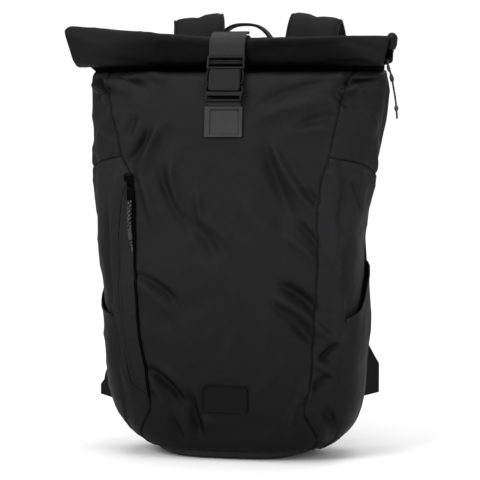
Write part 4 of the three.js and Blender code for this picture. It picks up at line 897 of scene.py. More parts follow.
def twisted_strands(prefix, line, offset, pitch, diameter):
    """Two strands that wind round a line at an offset, opposite each other, one turn each pitch."""
    ahead = unit(np.gradient(line, axis=0))
    side = unit(np.cross(ahead, (0, 1, 0)))
    other = np.cross(ahead, side)
    strands = []
    for k, start in enumerate((0.0, np.pi)):
        turn = (2 * np.pi * distances(line) / pitch + start)[:, None]
        wound = line + offset * (np.cos(turn) * side + np.sin(turn) * other)
        strands.append(sweep(f"{prefix}_strand_{k + 1}", wound, (1, 0, 0), cord_outline(diameter, 10), CORD))
    return strands


def pull_cords():
    """Each pull is a cord from its slider: the front one doubled and twisted down to its sleeve, the one on
    the roll doubled down to its knot."""
    front, line = cord_mesh("front_cord", FRONT_CORD, 0.0020, 90)
    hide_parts("front_pull_cord", "front_pull_tail")
    strands = twisted_strands("front", line[line[:, 2] > 0.2425], 0.0014, 0.009, 0.0025)
    middle = line[np.argmin(abs(line[:, 2] - 0.238))]
    sleeve = bead("front_sleeve", middle, FRONT_CORD[7] - FRONT_CORD[5],
                  [(-0.0047, 0.0016), (-0.0046, 0.0021), (-0.003, 0.0023), (0, 0.0024), (0.003, 0.0023),
                   (0.0046, 0.0021), (0.0047, 0.0016)], SLEEVE)
    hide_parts("front_pull_sleeve")
    knot = bead("front_knot", FRONT_CORD[7] + (0, 0, -0.0018), FRONT_CORD[9] - FRONT_CORD[7],
                knot_profile(0.004, 0.0038), CORD)

    roll, line = cord_mesh("roll_cord", ROLL_CORD, 0.0021, 110)
    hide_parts("roll_pull_cord", "roll_pull_line", "roll_pull_tail")
    strands = twisted_strands("roll", line[line[:, 2] > 0.4085], 0.0010, 0.02, 0.0017)
    knot = bead("roll_knot", ROLL_CORD[4], ROLL_CORD[5] - ROLL_CORD[3], knot_profile(0.0095, 0.0046), CORD)
    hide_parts("roll_pull_knot")
    olive = bead("roll_bead", ROLL_CORD[9], ROLL_CORD[10] - ROLL_CORD[8], knot_profile(0.0074, 0.0044), BEAD)
    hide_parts("roll_pull_bead")


pull_cords()


# Body cloth
def spread(count, ends=0.75):
    """Shares from 0 to 1, closer together near both ends."""
    even = np.linspace(0, 1, count)
    return (1 - ends) * even + ends * (0.5 - 0.5 * np.cos(np.pi * even))


def turned_in(distance):
    """How far an edge is drawn in at a seam: depth exp(-(distance/width)^2), as a lift below zero."""
    return -TUCK_DEPTH * np.exp(-(distance / TUCK_WIDTH) ** 2)


def pucker(along, distance):
    """Small waves along a seam that die out away from it."""
    slow = np.sin(2 * np.pi * along / (PUCKER_PITCH * 5.3))
    wave = np.sin(2 * np.pi * along / PUCKER_PITCH + 1.5 * slow)
    return PUCKER_RISE * wave * np.exp(-distance / PUCKER_REACH)


def panel(name, levels, runs, thick, material, lift=0.0, seams=(1, 1, 1, 1), inner=None):
    """A sheet of the skin on a grid of levels and runs. seams says which edges are sewn: low, high, first and
    last column. Sewn edges turn in and pucker. inner is the lift that the thickness is taken from, or None
    for the outer face's own."""
    z = height_at(levels)
    gaps = [z - z[:1], z[-1:] - z, runs - runs[:, :1], runs[:, -1:] - runs]
    gaps = [gap if sewn else np.full_like(gap, 1.0) for gap, sewn in zip(gaps, seams)]
    edge = np.minimum.reduce(gaps)
    side = np.minimum(gaps[2], gaps[3])
    total = turned_in(edge) + pucker(z, side) + pucker(runs, np.minimum(gaps[0], gaps[1])) + lift
    outer = skin(levels, runs, total)
    under = skin(levels, runs, (total if inner is None else inner) - thick)
    s = runs - front_middle(levels)
    return slab(name, outer, under, material, np.stack([s, z], -1))


half_gap = SEAM_GAP / 2
base_level = level_at(BASE_SEAM + half_gap)
gusset = smooth_column(GUSSET_SEAM[:, 0], GUSSET_SEAM[:, 1])
rim = smooth_column(POCKET_RIM[:, 0], POCKET_RIM[:, 1])


def front_panel():
    """From the left to the right front seam, up to the collar."""
    rows = base_level + (LAST_LEVEL - base_level) * spread(250, 0.2)
    levels = np.repeat(rows[:, None], 160, 1)
    left, right = front_left(levels) + half_gap, front_right(levels) - half_gap
    runs = left + (right - left) * spread(160)[None, :]
    cloth = panel("front_cloth", levels, runs, CLOTH, SHELL, seams=(1, 0, 1, 1))
    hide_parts("front_panel")


def side_span(side):
    """Runs at which a side starts and ends, and the share across in the front seam's order."""
    if side == "left":
        return back_left, front_left, lambda across: 1 - across
    return front_right, back_right, lambda across: across


def pocket_lift(side, across, level):
    """How far a pocket stands off the skin at a share across and a level: a skewed half sine across that
    grows from the base seam and is drawn in at the rim. Also the share of the way up to the rim."""
    start, end, turned = side_span(side)
    width = end(level) - start(level)
    if side == "left":
        inward = np.clip(across / (1 - FLAP_STRIP / width), 0, 1)
    else:
        inward = np.clip(across, 0, 1)
    top = rim(turned(across)) * BODY_HEIGHT
    share = np.clip((height_at(level) - BASE_SEAM) / (top - BASE_SEAM), 0, 1.4)
    skewed = 1 - (1 - inward) ** POCKET_SKEW if side == "left" else inward ** POCKET_SKEW
    swell = np.sin(np.pi * skewed) ** POCKET_POWER * (1 - POCKET_DRAWN * smooth_step(share, 0.75, 1))
    return POCKET_FULLNESS * swell * smooth_step(share, 0, 0.75), share


def side_panels():
    """The lower side with the part of the pocket that runs into it, and the gusset above its seam."""
    for side in ("left", "right"):
        start, end, turned = side_span(side)

        def runs_at(levels):
            """Runs from seam to seam, half a gap inside each."""
            return start(levels) + half_gap + (end(levels) - start(levels) - SEAM_GAP) * shares

        shares = spread(96, 0.6)[None, :]
        low_end = level_at(BODY_HEIGHT * gusset(turned(shares)) - half_gap)
        levels = base_level + (low_end - base_level) * spread(200, 0.3)[:, None]
        lift, share = pocket_lift(side, shares, levels)
        merged = 1 - smooth_step(turned(shares), 0.2, 0.27)
        above = 1 - smooth_step(share, 1.0, 1.4)
        cloth = panel(f"side_cloth_{side}", levels, runs_at(levels), CLOTH, SIDE,
                      lift=lift * merged * above + 0.0006 * merged * above, inner=0.0)
        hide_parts(f"side_panel_{side}")
        low_end = level_at(BODY_HEIGHT * gusset(turned(shares)) + half_gap)
        levels = low_end + (LAST_LEVEL - low_end) * spread(110, 0.3)[:, None]
        top = panel(f"side_top_cloth_{side}", levels, runs_at(levels), CLOTH, SHELL,
                    seams=(1, 0, 1, 1))
        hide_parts(f"side_top_{side}")


def pockets():
    """The pockets' own cloth, from where it leaves the side cloth to the back seam, with a bound rim."""
    for side in ("left", "right"):
        start, end, turned = side_span(side)
        shares = np.sort(turned(0.17 + 0.83 * spread(90, 0.5)))[None, :]
        top = level_at(BODY_HEIGHT * rim(turned(shares)))
        levels = base_level + (top - base_level) * spread(120, 0.3)[:, None]
        width = end(levels) - start(levels)
        margin = POCKET_MARGIN / width
        shares = np.clip(shares, margin, 1) if side == "left" else np.clip(shares, 0, 1 - margin)
        runs = start(levels) + width * shares
        lift, _ = pocket_lift(side, shares, levels)
        sunk = smooth_step(turned(shares), 0.17, 0.235)
        stand = PLATE_LIFT + lift - 0.0035 * (1 - sunk)
        cloth = panel(f"pocket_cloth_{side}", levels, runs, POCKET_CLOTH, SIDE,
                      lift=stand + POCKET_CLOTH, seams=(1, 0, 0, 0))
        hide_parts(f"pocket_{side}")
        keep = turned(shares[-1]) > 0.215
        line = skin(levels[-1], runs[-1], (stand + 0.0012)[-1])[keep]
        sweep(f"pocket_rim_{side}", line, (0, 0, 1), band_outline(0.0032, 0.0014, 5), BINDING)


def back_panels():
    """Three padded fields of spacer mesh with channels between them, and the yoke above."""
    shares = spread(130, 0.35)[None, :]

    def runs_of(levels):
        """Runs from the right back seam to the left one, half a gap inside each."""
        low = back_right(levels) - ring_length(levels) + half_gap
        return low + (back_left(levels) - half_gap - low) * shares

    top = level_at(BODY_HEIGHT * gusset(1.0) - half_gap)
    levels = np.repeat((base_level + (top - base_level) * spread(190, 0.2))[:, None], 130, 1)
    runs = runs_of(levels)
    x, z = -runs, height_at(levels)
    channel = np.exp(-(x / 0.011) ** 2)
    middle = np.maximum.reduce([np.exp(-((z - h) / 0.006) ** 2) for h in (0.085, 0.172, 0.245)])
    pad = panel("back_pad", levels, runs, BACK_PAD, PAD,
                lift=0.0035 - 0.0055 * np.maximum(channel, 0.7 * middle), inner=0.0)
    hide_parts("back_panel")
    low = level_at(BODY_HEIGHT * gusset(1.0) + half_gap)
    levels = np.repeat((low + (LAST_LEVEL - low) * spread(90, 0.3))[:, None], 130, 1)
    yoke = panel("back_yoke_cloth", levels, runs_of(levels), CLOTH, YOKE, seams=(1, 0, 1, 1))
    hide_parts("back_yoke")


def base_panel():
    """A tray: its rim follows the skin up to the base seam and turns in there; flat underneath."""
    levels = np.linspace(0, level_at(BASE_SEAM - SEAM_GAP), 14)[:, None]
    shares = np.linspace(0, 1, 361)[None, :-1]
    runs = ring_length(levels) * shares
    z = height_at(levels)
    outer, inner = skin(levels, runs, turned_in(z[-1:] - z)), skin(levels, runs, -0.0024)
    uv = np.stack(np.broadcast_arrays(runs - front_middle(levels), z), -1)
    rings, uv = np.concatenate([outer, inner[::-1]]), np.concatenate([uv, uv[::-1]])
    tray = tube("base_cloth", rings, BASE, uv)
    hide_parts("base_panel")


front_panel()
side_panels()
pockets()
back_panels()
base_panel()


# Rolled top
roll_curves = [smooth_column(ROLL_SECTIONS[:, 0], ROLL_SECTIONS[:, k]) for k in range(1, 5)]
collar_y = BODY_DEPTH * BODY_SECTIONS[-1, 5]
roll_foot = BODY_HEIGHT + SEAM_GAP
ROLL_RADIUS = 0.019
ROLL_STEPS = 46


def roll_shape(x):
    """Half height, half depth, middle and lean of the roll's section at x."""
    height, depth, lift, lean = [curve(x / ROLL_LENGTH) for curve in roll_curves]
    up, out = ROLL_HEIGHT * height / 2, ROLL_DEPTH * depth / 2
    y = collar_y + ROLL_SHEET / 2 - out
    return up, out, y, roll_foot + SEAM_GAP + up + ROLL_HEIGHT * lift, lean


def roll_point(x, angle, inset):
    """A point on the roll's superellipse, inset towards its middle. Angle 0 is its back and a quarter turn
    its top. The ends lean out with height, and the left end's top corner is drawn in."""
    up, out, y, z, lean = roll_shape(x)
    away = signed_power(np.cos(angle), 2 / ROLL_CORNER) * (out - inset)
    height = z + signed_power(np.sin(angle), 2 / ROLL_CORNER) * (up - inset)
    behind = smooth_step(np.cos(angle), 0.1, 0.7) * (lean > 0)
    leant = x + lean * (height - roll_foot + behind * np.maximum(z + up - height, 0) * 0.9)
    clipped = smooth_step(-x / ROLL_LENGTH, 0.43, 0.494) * np.maximum(height - (z + up - 0.0065), 0)
    return np.stack(np.broadcast_arrays(leant + clipped, y + away, height), -1)


# Folds of the roll's outer turn: x in millimetres and angle in degrees at both ends, breadth in millimetres
# below and above, rise in millimetres
ROLL_FOLDS = np.array([
    (-172, 150, -120, 196, 5, 9, 1.8),
    (-150, 205, -95, 214, 5, 7, -2.2),
    (-178, 206, -128, 232, 5, 6, 2.2),
    (-128, 118, -40, 136, 9, 10, 1.1),
    (-90, 168, -22, 160, 9, 9, -1.2),
    (18, 146, 92, 128, 5, 9, 1.7),
    (92, 128, 158, 112, 5, 8, 1.7),
    (20, 176, 70, 150, 7, 9, -1.6),
    (70, 160, 150, 140, 8, 9, -1.4),
    (150, 205, 116, 158, 5, 7, 2.2),
    (158, 190, 134, 150, 5, 5, -2.0),
    (100, 214, 150, 222, 5, 6, -1.4),
    (-20, 212, -120, 205, 6, 6, 1.0),
    (30, 210, 110, 206, 6, 6, 1.0),
])


def roll_rise(x, angle):
    """The folds of the roll, in x and in the distance round its outer turn, and small creases."""
    around = angle * ROLL_RADIUS
    total = 0.6 * crumple(x * 1.3 + 0.2, around * 1.1 + 0.31)
    for x0, a0, x1, a1, below, above, rise in ROLL_FOLDS:
        s0, s1 = x0 / 1000, x1 / 1000
        z0, z1 = math.radians(a0) * ROLL_RADIUS, math.radians(a1) * ROLL_RADIUS
        length = math.hypot(s1 - s0, z1 - z0)
        cos, sin = (s1 - s0) / length, (z1 - z0) / length
        along = ((x - s0) * cos + (around - z0) * sin) / length
        beside = (around - z0) * cos - (x - s0) * sin
        breadth = np.where(beside < 0, below, above) / 1000
        total = total + 1.35 * rise / 1000 * np.exp(-(beside / breadth) ** 2 - (1.9 * (along - 0.5)) ** 4)
    return total


def roll_top():
    """A double sheet that leaves the collar, passes over the back and the top and rolls inward down the
    front: a spiral of shrinking superellipses carried along x."""
    turns = np.linspace(0, 2 * np.pi * ROLL_TURNS, int(ROLL_TURNS * ROLL_STEPS) + 1)[:, None]
    first, last = ROLL_SECTIONS[0, 0], ROLL_SECTIONS[-1, 0]
    x = ROLL_LENGTH * (first + (last - first) * spread(210, 0.5))[None, :]
    inset = (ROLL_SHEET + ROLL_GAP) * turns / (2 * np.pi)
    outer_turn = smooth_step(turns, 0.2, 1.2) * (1 - smooth_step(turns, 4.2, 5.4))
    rise = roll_rise(x, turns) * outer_turn
    ends = np.exp(-(np.minimum(x - x.min(), x.max() - x) / 0.0012) ** 2) * 0.0011
    up, out, y, _, _ = roll_shape(x)
    sheets = []
    for skin_inset in (ends - rise, ROLL_SHEET - ends - rise):
        spiral = roll_point(x, turns, inset + skin_inset)
        back = (y + out - skin_inset[:1])[0]
        narrow = np.clip(x[0], -0.1562, 0.1590)
        foot = [np.stack(np.broadcast_arrays(x[0] + (narrow - x[0]) * share, back, z), -1)[None]
                for share, z in ((1, roll_foot - 0.008), (1, roll_foot - 0.002), (0.45, roll_foot + 0.006))]
        sheets.append(np.concatenate([*foot, spiral]))
    around = np.r_[-0.026, -0.020, -0.012, turns[:, 0] * ROLL_RADIUS]
    uv = np.stack(np.broadcast_arrays(x, around[:, None]), -1)
    cloth = slab("roll_cloth", sheets[1], sheets[0], ROLL, uv)
    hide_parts("roll_top")


roll_top()


# Zip flap and front zip
flap_reach = smooth_column(FLAP_EDGE[:, 0], FLAP_EDGE[:, 1])


def front_zip():
    """The flap beside the seam with a sewn line near its free edge and a black line of painted shade along
    that edge, and the covered zip's coil and tape.
    """

    def beside_seam(z, offset, lift):
        """Points on the skin beside the left front seam."""
        return skin(level_at(z), front_left(level_at(z)) + offset, lift)

    low, high = BODY_HEIGHT * 0.158, 0.2965
    levels = np.repeat(level_at(low + (high - low) * spread(150, 0.3))[:, None], 24, 1)
    edge = front_left(levels) - SEAM_GAP
    reach = np.maximum(flap_reach(height_at(levels) / BODY_HEIGHT), 0.0024)
    share = spread(24, 0.6)[None, :]
    runs = edge - reach * (1 - share)
    from_edge = runs - (edge - reach)
    lift = PLATE_LIFT + 0.0022 - 0.0018 * np.exp(-(from_edge / 0.0009) ** 2)
    lift = lift - 0.0012 * np.exp(-((from_edge - 0.0045) / 0.0008) ** 2) + 0.0006 * np.sin(np.pi * share)
    outer, inner = skin(levels, runs, lift), skin(levels, runs, PLATE_LIFT - 0.0006)
    uv = np.stack([runs, height_at(levels)], -1)
    flap = slab("zip_flap_cloth", outer, inner, SIDE, uv)
    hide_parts("zip_flap")
    line = beside_seam(np.linspace(0.072, 0.292, 200), 0.0004, 0.0002)
    sweep("zip_coil", line, (1, 0, 0), cord_outline(0.0021, 8), ZIP)
    line = beside_seam(np.linspace(0.224, 0.287, 70), -0.0004, PLATE_LIFT + 0.0024)
    sweep("zip_tape", line, (1, 0, 0), band_outline(0.0042, 0.0010, 5), ZIP)
    # A black thread-thin line along the flap's free edge: painted shade of the groove there
    line = outer[4:-4, 0] + (0, -0.0003, 0)
    sweep("zip_flap_edge_shade", line, (1, 0, 0), cord_outline(0.0009, 6), ZIP)


def block(name, half_wide, half_high, radius, profile, place, material, corner_steps=8):
    """A rounded plate: its outline is a rounded rectangle drawn in by the profile's first number at the depth
    of its second, from the back's middle to the front's. place turns local points into the bag's frame."""
    quarter = np.repeat(np.arange(4), corner_steps)
    turn = np.concatenate([np.linspace(q * np.pi / 2, (q + 1) * np.pi / 2, corner_steps) for q in range(4)])
    sx, sz = np.array([1, -1, -1, 1])[quarter], np.array([1, 1, -1, -1])[quarter]
    rings = []
    for inset, depth in profile:
        r = max(radius - inset, 0.0002)
        a, b = max(half_wide - inset, r + 1e-5), max(half_high - inset, r + 1e-5)
        rings.append(np.stack([sx * (a - r) + r * np.cos(turn), np.full(len(turn), depth),
                               sz * (b - r) + r * np.sin(turn)], -1))
    local = np.stack(rings)
    uv = np.stack([local[..., 0], local[..., 2]], -1)
    return tube(name, place(local), material, uv)


def edge_profile(thick, round_off, crown, reach):
    """From the back face's middle round the edge to the front face's middle, which may be crowned."""
    back = [(reach, thick / 2), (round_off + 0.0003, thick / 2)]
    back += [(round_off * (1 - math.sin(t)), thick / 2 - round_off * (1 - math.cos(t)))
             for t in np.linspace(0, np.pi / 2, 5)]
    front = [(inset, -depth) for inset, depth in back[::-1]]
    if crown:
        front = front[:-1] + [(reach * k, -thick / 2 - crown * (1 - (1 - k) ** 2)) for k in (0.35, 0.65, 1.0)]
    return back + front


def on_skin(level, run, lift):
    """A frame on the skin: local x across, z up along the skin, and minus y outward."""
    place = skin(np.array([level]), np.array([run]), lift)[0]
    out = unit(skin(np.array([level]), np.array([run]), lift + 0.001)[0] - place)
    up = skin(np.array([level + 0.05]), np.array([run]), lift)[0] - place
    up = unit(up - out * (up @ out))
    side = np.cross(up, out)
    return lambda local: place + local[..., :1] * side + local[..., 1:2] * -out + local[..., 2:] * up


def zip_parts():
    """Garage, slider and pull tab, one under the other on the flap."""
    # The zip flap of the CAD part ends one of the side's 18 rows below the gusset seam
    gusset_level = level_at(BODY_HEIGHT * float(gusset(0.0)) - half_gap)
    flap_top = float(height_at(base_level + 17 * ((gusset_level - base_level) / 18)))
    garage_z = flap_top + SEAM_GAP + 0.0025

    def seam_at(z):
        """Level and run at a height, a little to the left of the left front seam."""
        return level_at(z), float(front_left(level_at(z))) - 0.0015

    place = on_skin(*seam_at(garage_z), PLATE_LIFT + 0.0014)
    garage = block("zip_garage_hood", 0.005, 0.0045, 0.0022, edge_profile(0.0030, 0.0011, 0.0008, 0.003),
                   place, ZIP)
    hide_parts("zip_garage")
    slider_z = flap_top - 0.0045
    place = on_skin(*seam_at(slider_z), PLATE_LIFT + 0.0034)
    slider = block("zip_slider_body", 0.0024, 0.0034, 0.0011, edge_profile(0.0028, 0.0008, 0.0004, 0.002),
                   place, ZIP)
    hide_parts("zip_slider")
    bridge = [(0, -0.0012, 0.0022), (0, -0.0026, 0.0012), (0, -0.0026, -0.0012), (0, -0.0012, -0.0022)]
    sideways = place(np.array([[1.0, 0, 0]]))[0] - place(np.zeros((1, 3)))[0]
    sweep("zip_slider_bridge", smooth_line(place(np.array(bridge)), 24), sideways,
          band_outline(0.0015, 0.0009, 5), ZIP)
    pull_z = slider_z - 0.0035 - SEAM_GAP - 0.0065
    place = on_skin(*seam_at(pull_z), PLATE_LIFT + 0.0040)
    tab = block("zip_pull_tab", 0.0033, 0.0065, 0.0014, edge_profile(0.0013, 0.0005, 0.0, 0.002), place,
                ZIP)
    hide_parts("zip_pull")


front_zip()
zip_parts()


# Closure strap and buckle. The buckle's own frame has its origin in the ladder's middle and leans forward.
tilt = math.radians(BUCKLE_TILT)
ladder_half = LADDER_HEIGHT / 2
strap_shape = [float(v) for v in roll_shape(STRAP_X)]
buckle_origin = np.array([
    STRAP_X,
    strap_shape[2] - strap_shape[1] - SEAM_GAP - WEBBING - SEAM_GAP - LADDER_THICK / 2
    - ladder_half * math.sin(tilt),
    strap_shape[3] - LADDER_DROP - ladder_half,
])


def in_buckle(local):
    """From the buckle's frame to the bag's: turned about X by the tilt."""
    x, y, z = local[..., 0], local[..., 1], local[..., 2]
    cos, sin = math.cos(tilt), math.sin(tilt)
    return np.stack([x, y * cos + z * sin, z * cos - y * sin], -1) + buckle_origin


def buckle_at(y, z):
    """A point in the buckle's middle plane, in the bag's frame."""
    return in_buckle(np.array([0.0, y, z]))


def over_roll(lift, start, end, bulge=0.0):
    """Points over the roll at a lift, from one angle to another in degrees, raised by a bulge at the top."""
    angle = np.radians(np.linspace(start, end, 22))
    crest = bulge * np.exp(-((np.degrees(angle) - 96) / 16) ** 2)
    return roll_point(np.full(22, STRAP_X), angle, -(lift + crest))


def closure_strap():
    """The strap lies behind and over the roll and goes through the ladder. Its tail comes back up over it."""
    lift = SEAM_GAP + WEBBING / 2
    back_run = run_table(lambda level: STRAP_X, False)
    roof = [skin(level_at(BODY_HEIGHT * up), back_run(level_at(BODY_HEIGHT * up)), lift)
            for up in (0.95, 0.965, 0.978)]
    behind = LADDER_THICK / 2 + lift
    line = smooth_line(np.vstack([np.reshape(roof, (3, 3)), over_roll(lift, 32, 180),
                                  buckle_at(behind, ladder_half - 0.0008),
                                  buckle_at(behind, ladder_half - 0.0025)]), 150)
    main = sweep("closure_webbing", line, (1, 0, 0), band_outline(WEBBING_WIDTH, WEBBING), BAND)
    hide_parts("closure_strap")
    line = smooth_line(np.vstack([
        buckle_at(0.0009, ladder_half - 0.0004), buckle_at(0.0006, ladder_half + 0.0016),
        over_roll(lift + WEBBING + SEAM_GAP, 160, 84, 0.0012)]), 120)
    tail = sweep("tail_webbing", line, (1, 0, 0), band_outline(WEBBING_WIDTH, WEBBING), BAND)
    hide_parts("strap_tail")
    hem = line[-14:] + (0, 0, 0.0012)
    sweep("tail_hem", hem, (1, 0, 0), band_outline(WEBBING_WIDTH + 0.001, 0.0014), BAND)


def barred_plate(name, xs, zs, open_cells, thick, bevel, place):
    """A moulded plate cut by lines at xs and zs whose open cells are left out, with its edges bevelled."""
    columns, rows = len(xs), len(zs)
    gx, gz = np.meshgrid(xs, zs)
    front = np.stack([gx, np.full_like(gx, -thick / 2), gz], -1).reshape(-1, 3)
    back = front + (0, thick, 0)
    n, faces, sides = columns * rows, [], {}
    for row in range(rows - 1):
        for column in range(columns - 1):
            if (column, row) in open_cells:
                continue
            a = row * columns + column
            quad = (a, a + 1, a + 1 + columns, a + columns)
            faces += [quad, tuple(v + n for v in reversed(quad))]
            for p, q in zip(quad, quad[1:] + quad[:1]):
                sides[(p, q)] = sides.get((p, q), 0) + 1
    for p, q in sides:
        if (q, p) not in sides:
            faces.append((q, p, p + n, q + n))
    used = sorted({v for face in faces for v in face})
    renumber = {old: new for new, old in enumerate(used)}
    points = place(np.concatenate([front, back])[used])
    faces = [tuple(renumber[v] for v in face) for face in faces]
    thing = piece(name, points, faces, PLASTIC, None)
    rounding = thing.modifiers.new("rounded edges", "BEVEL")
    rounding.width, rounding.segments, rounding.limit_method = bevel, 3, "ANGLE"
    thing.modifiers.new("even shading", "WEIGHTED_NORMAL")
    return thing


def moulded_strip(name, points, width, thick):
    """A springy strip of the buckle through points in its frame, its width from front to back."""
    return sweep(name, smooth_line(in_buckle(points), 30), (0, 1, 0), band_outline(width, thick, 7), PLASTIC)


def buckle():
    """Ladder with two slots and a ribbed bar, flat insert, two springy prongs with the socket's jaws below
    them, and the slotted socket. Gives the height of the socket's foot in the buckle's frame."""
    half = LADDER_WIDTH / 2
    xs = np.array([-half, -half + 0.0025, half - 0.0025, half])
    zs = np.array([-ladder_half, -0.0045, -0.0022, 0.0022, 0.0045, ladder_half])
    ladder = barred_plate("ladder_frame", xs, zs, {(1, 1), (1, 3)}, LADDER_THICK, 0.0008, in_buckle)
    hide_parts("buckle_ladder")
    up = buckle_at(0.0, 1.0) - buckle_origin
    for k, z in enumerate((-0.0011, 0.0012)):
        rib = np.array([(-half + 0.0028, -0.0022, z), (half - 0.0028, -0.0022, z)])
        sweep(f"ladder_rib_{k + 1}", smooth_line(in_buckle(rib), 6), up, band_outline(0.0016, 0.0014, 7),
              PLASTIC)
    top = -ladder_half - SEAM_GAP
    inner_half = (LADDER_WIDTH - 0.006 - 2 * SEAM_GAP) / 2
    middle = top - BUCKLE_HEIGHT / 2
    insert = block("insert_body", inner_half, BUCKLE_HEIGHT / 2, 0.003,
                   edge_profile(0.0068, 0.0012, 0.0, 0.011),
                   lambda local: in_buckle(local + (0, 0, middle)), PLASTIC, 10)
    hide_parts("buckle_insert")
    for sign, side in ((-1, "left"), (1, "right")):
        line = np.array([(inner_half + 0.0010, 0, top - 0.0004), (inner_half + 0.0021, 0, top - 0.003),
                         (inner_half + 0.0022, 0, top - 0.008), (inner_half + 0.0018, 0, top - 0.013),
                         (inner_half + 0.0004, 0, top - 0.0165)]) * (sign, 1, 1)
        prong = moulded_strip(f"prong_{side}", line, 0.0046, 0.0022)
        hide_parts(f"buckle_prong_{side}")
        jaw = np.array([(inner_half + 0.0016, 0, top - 0.0185), (inner_half + 0.0026, 0, top - 0.021),
                        (inner_half + 0.0022, 0, top - 0.0245), (inner_half + 0.0012, 0, top - 0.028),
                        (inner_half + 0.0008, 0, top - 0.033)]) * (sign, 1, 1)
        moulded_strip(f"socket_jaw_{side}", jaw, 0.0056, 0.0026)
    socket_top = top - BUCKLE_HEIGHT - SEAM_GAP
    low = socket_top - SOCKET_HEIGHT
    half = SOCKET_WIDTH / 2
    xs = np.array([-half, -half + 0.0024, half - 0.0024, half])
    zs = np.array([low, low + 0.0026, low + 0.0060, socket_top])
    socket = barred_plate("socket_frame", xs, zs, {(1, 1)}, 0.005, 0.0009, in_buckle)
    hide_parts("buckle_socket")
    return low


def skin_plate(name, x, z, half_wide, half_high, radius, rims, steps, material):
    """A thin rounded plate that follows the skin, with a raised border. rims holds the border's breadth at
    the left, right, top and bottom, and steps pairs of (share of the breadth, lift) from the edge inwards."""
    shares = spread(110, 0.8)
    low, high = -half_high, half_high
    pz = low + (high - low) * shares[:, None]
    corner = np.clip(np.abs(pz) - (half_high - radius), 0, radius)
    reach = half_wide - radius + np.sqrt(radius ** 2 - corner ** 2)
    px = reach * (2 * shares[None, :] - 1)
    left, right, top, bottom = rims
    across = np.minimum((px + reach) / left, (reach - px) / right)
    inward = np.minimum(across, np.minimum((high - pz) / top, (pz - low) / bottom))
    parts, lifts = np.array(steps).T
    level = level_at(z + pz)
    run = front_middle(level) + (x + px)
    outer, inner = skin(level, run, np.interp(inward, parts, lifts)), skin(level, run, PLATE_LIFT - 0.0014)
    return slab(name, outer, inner, material, outer[..., [0, 2]])


def loop_and_patches(low):
    """Short webbing from the socket's bar down under the patch, the patch with its raised border and hollow
    field, and the label with its fine raised rim."""
    patch_top = float(buckle_at(0.0, low)[2]) - 0.0048
    on_panel = [skin(level, front_middle(level) + STRAP_X, lift) for level, lift in
                ((level_at(patch_top + 2 * SEAM_GAP), 0.0016), (level_at(patch_top - 0.0042), 0.0009))]
    line = smooth_line(np.vstack([buckle_at(0.0034, low + 0.0022), buckle_at(0.0024, low - 0.0006),
                                  np.reshape(on_panel, (2, 3))]), 40)
    strap = sweep("patch_webbing", line, (1, 0, 0), band_outline(LOOP_WIDTH, WEBBING), BAND)
    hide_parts("buckle_loop")
    rims = (0.0062, 0.0040, 0.0030, 0.0027)
    steps = [(0, 0.0021), (0.0004, 0.0028), (0.001, 0.003), (0.8, 0.003), (0.92, 0.0026), (1, 0.0014),
             (1.06, 0.0012)]
    patch = skin_plate("rubber_patch", PATCH_X, patch_top - 0.0161, PATCH_HALF_WIDE, PATCH_HALF_HIGH, 0.0012,
                       rims, steps, PATCH)
    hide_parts("buckle_patch")
    steps = [(0, 0.0014), (0.25, 0.0022), (0.5, 0.0025), (0.75, 0.0022), (1, 0.0014), (1.5, 0.0012)]
    label = skin_plate("rubber_label", LABEL_X, LABEL_Z, LABEL_HALF_WIDE, LABEL_HALF_HIGH, 0.0052,
                       (0.0013,) * 4, steps, LABEL)
    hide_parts("label_patch")


closure_strap()
loop_and_patches(buckle())


# Shoulder straps, wings and handle
def back_y(z):
    """The place of the back's plain skin at a height, in the bag's middle."""
    return float(np.interp(z, table_points[:, 0, 2], table_points[:, 0, 1]))


def pad_outline(width, thick, groove, count=72):
    """A padded strap's outline: a superellipse, pressed in along the middle of both faces."""
    turn = np.linspace(0, 2 * np.pi, count, endpoint=False)
    u = width / 2 * signed_power(np.cos(turn), 0.5)
    v = thick / 2 * signed_power(np.sin(turn), 0.62)
    dent = 1 - groove * np.exp(-(u / 0.0022) ** 2) - 0.5 * np.exp(-((np.abs(u) - width / 2) / 0.0035) ** 2)
    return np.stack([u, v * np.clip(dent, 0.25, 1)], -1)


